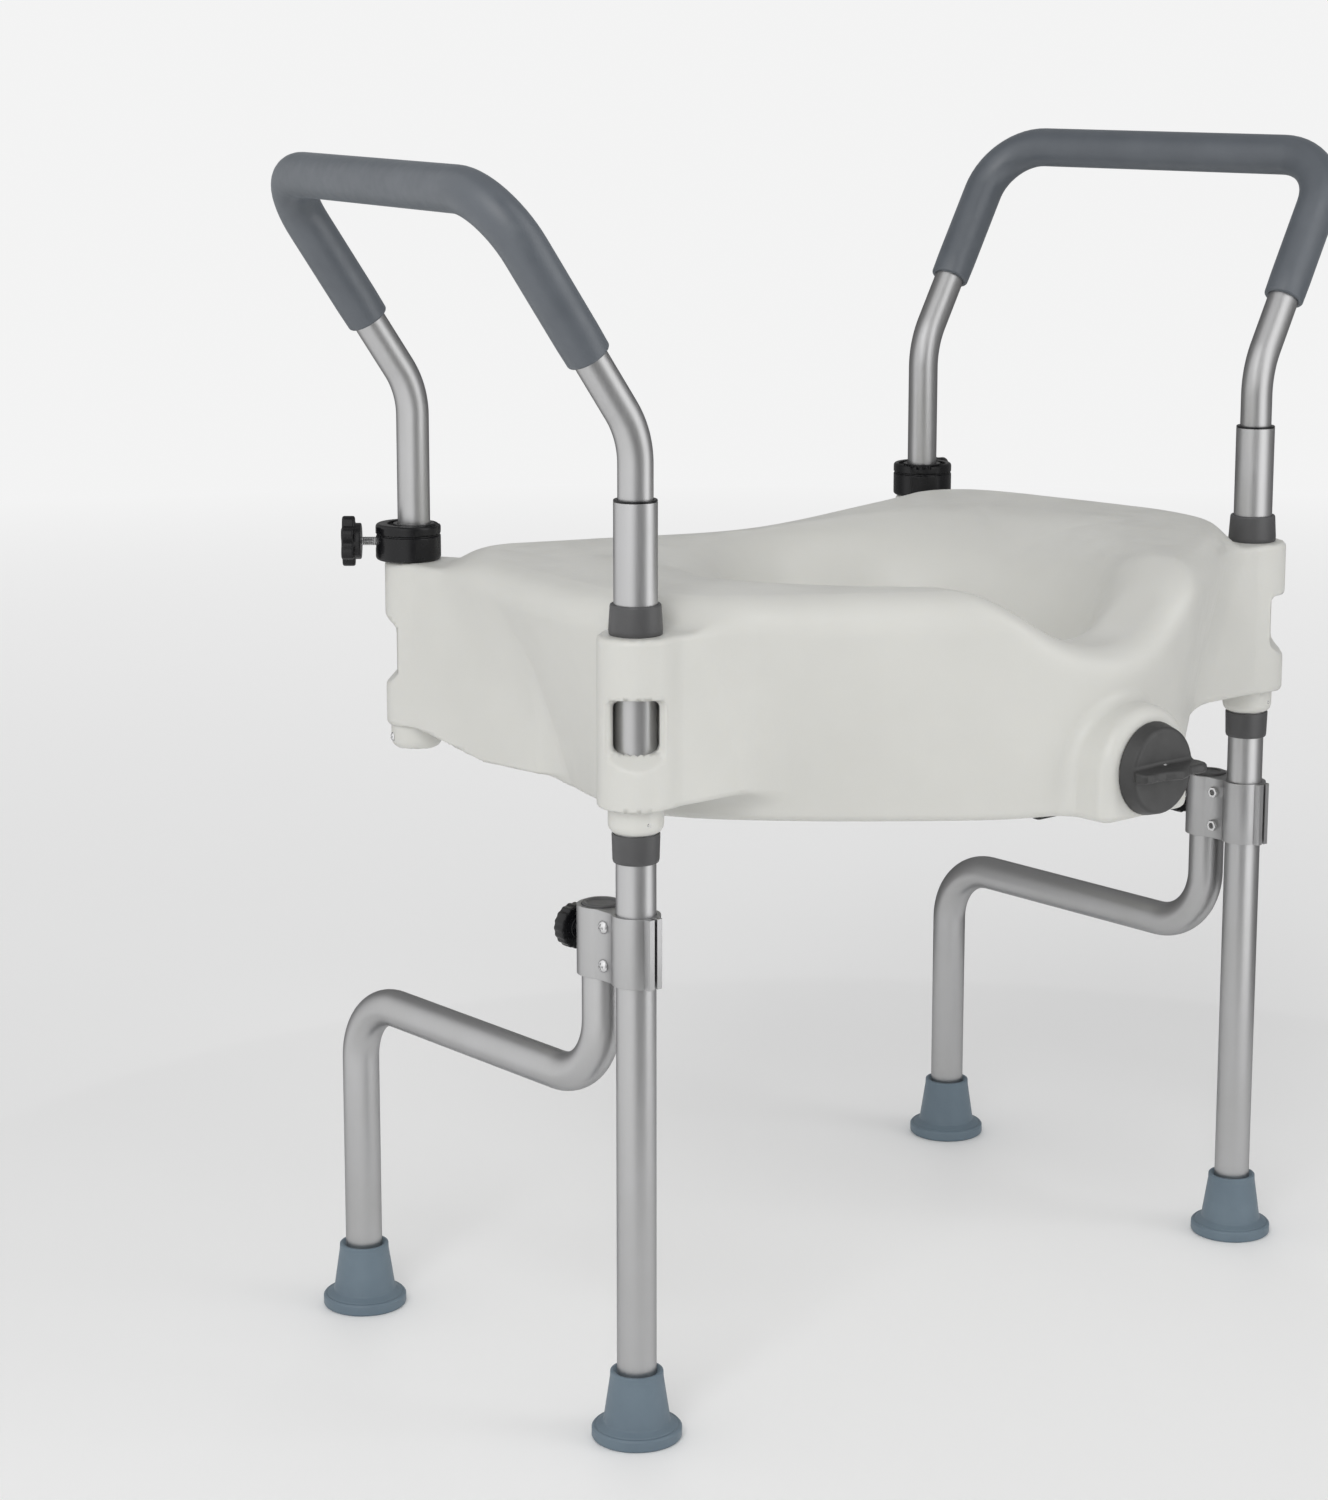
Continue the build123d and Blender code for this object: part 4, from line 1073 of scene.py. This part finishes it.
# --- Studio ---
BACKDROP = (0.9, 0.9, 0.9)
PANEL_RING_R, PANEL_RING_HEIGHT, PANEL_RING_TURN = 0.8, 2.2, radians(-130)
PANELS = [  # (share of a turn from behind the object, tone), with the ramp's two ends first
    (0.0, 0.1), (1.0, 0.1), (0.15, 0.12), (0.25, 0.5), (0.42, 0.55), (0.49, 0.14), (0.57, 0.14),
    (0.63, 0.75), (0.69, 0.75), (0.77, 0.12),
]
CAMERA_PLACE, CAMERA_HEADING, CAMERA_PITCH = (-1.598, -1.6438, 0.897), radians(49.73), radians(10.66)


def floor():
    """A pale floor that takes on the backdrop's tone away from the object, so it has no horizon."""
    bpy.ops.mesh.primitive_plane_add(size=60, location=(0, 0, 0))
    ground = bpy.context.object
    ground.name = "floor"
    material, nodes, links, shader = new_material("floor_white", Roughness=0.6, Specular_IOR_Level=0.2)
    tone = two_tone(nodes, links, noise(nodes, links, 3, 2), [0.955] * 3, [0.965] * 3)
    links.new(tone, shader.inputs["Base Color"])
    place, length = nodes.new("ShaderNodeTexCoord"), nodes.new("ShaderNodeVectorMath")
    length.operation = "LENGTH"
    links.new(place.outputs["Object"], length.inputs[0])
    glow = with_values(nodes.new("ShaderNodeEmission"), Color=(*BACKDROP, 1))
    mix = nodes.new("ShaderNodeMixShader")
    links.new(spread(nodes, links, length.outputs["Value"], 0, 1, 2.6, 1.6), mix.inputs["Fac"])
    links.new(shader.outputs["BSDF"], mix.inputs[1])
    links.new(glow.outputs["Emission"], mix.inputs[2])
    links.new(mix.outputs["Shader"], nodes["Material Output"].inputs["Surface"])
    ground.data.materials.append(material)


def softbox(name, place, target, size, power, tone=(1, 1, 1)):
    light = bpy.data.lights.new(name, "AREA")
    light.shape, light.size, light.size_y = "RECTANGLE", size[0], size[1]
    light.energy, light.color = power, tone
    lamp = new_object(name, light)
    lamp.location = place
    lamp.rotation_euler = (Vector(target) - Vector(place)).to_track_quat("-Z", "Y").to_euler()


def reflection_panels():
    """A ring of bright and dark panels round the object, seen only in its gloss."""
    bpy.ops.mesh.primitive_cylinder_add(
        vertices=96, radius=PANEL_RING_R, depth=PANEL_RING_HEIGHT, end_fill_type="NOTHING",
        location=(0, 0, PANEL_RING_HEIGHT / 2), rotation=(0, 0, PANEL_RING_TURN),
    )
    ring = bpy.context.object
    ring.name = "reflection_panels"
    for kind in ("camera", "diffuse", "shadow", "transmission", "volume_scatter"):
        setattr(ring, f"visible_{kind}", False)
    material, nodes, links, _ = new_material("panels")
    material.cycles.emission_sampling = "NONE"
    place, around = nodes.new("ShaderNodeTexCoord"), nodes.new("ShaderNodeTexGradient")
    ramp = nodes.new("ShaderNodeValToRGB")
    around.gradient_type = "RADIAL"
    ramp.color_ramp.interpolation = "EASE"
    stops = ramp.color_ramp.elements
    for index, (turn, tone) in enumerate(PANELS):
        stop = stops[index] if index < 2 else stops.new(turn)
        stop.position, stop.color = turn, (tone, tone, tone, 1)
    glow = with_values(nodes.new("ShaderNodeEmission"), Strength=2)
    links.new(place.outputs["Object"], around.inputs["Vector"])
    links.new(around.outputs["Fac"], ramp.inputs["Fac"])
    links.new(ramp.outputs["Color"], glow.inputs["Color"])
    links.new(glow.outputs["Emission"], nodes["Material Output"].inputs["Surface"])
    ring.data.materials.append(material)


def surroundings():
    """A pale room: the backdrop's tone to a little above eye level, and dimmer overhead."""
    world = bpy.data.worlds.new("room")
    bpy.context.scene.world = world
    world.use_nodes = True
    nodes, links = world.node_tree.nodes, world.node_tree.links
    place, split = nodes.new("ShaderNodeTexCoord"), nodes.new("ShaderNodeSeparateXYZ")
    links.new(place.outputs["Generated"], split.inputs["Vector"])
    height = spread(nodes, links, split.outputs["Z"], 0, 1, 0.5, 0.25)
    tone = two_tone(nodes, links, height, BACKDROP, (0.5, 0.5, 0.5))
    links.new(tone, nodes["Background"].inputs["Color"])


def camera():
    """From the front left, looking slightly down, with the photograph's perspective."""
    lens = bpy.data.cameras.new("camera")
    lens.sensor_fit, lens.sensor_height, lens.lens, lens.shift_y = "VERTICAL", 36, 81.5, -0.0667
    viewer = new_object("camera", lens)
    viewer.location, heading, pitch = CAMERA_PLACE, CAMERA_HEADING, CAMERA_PITCH
    forward = Vector((cos(heading) * cos(pitch), sin(heading) * cos(pitch), -sin(pitch)))
    viewer.rotation_euler = forward.to_track_quat("-Z", "Y").to_euler()
    bpy.context.scene.camera = viewer


floor()
reflection_panels()
surroundings()
softbox("key", (-2.4, -1.6, 2.4), (0, 0, 0.5), (1.6, 1.6), 36)
softbox("fill", (1.6, -2.4, 1.9), (0, 0, 0.4), (1.2, 1.2), 10)
softbox("rim", (1.6, 2.2, 2.2), (0, 0, 0.5), (1.5, 1.5), 6)
camera()
bpy.context.scene.view_settings.view_transform = "Standard"
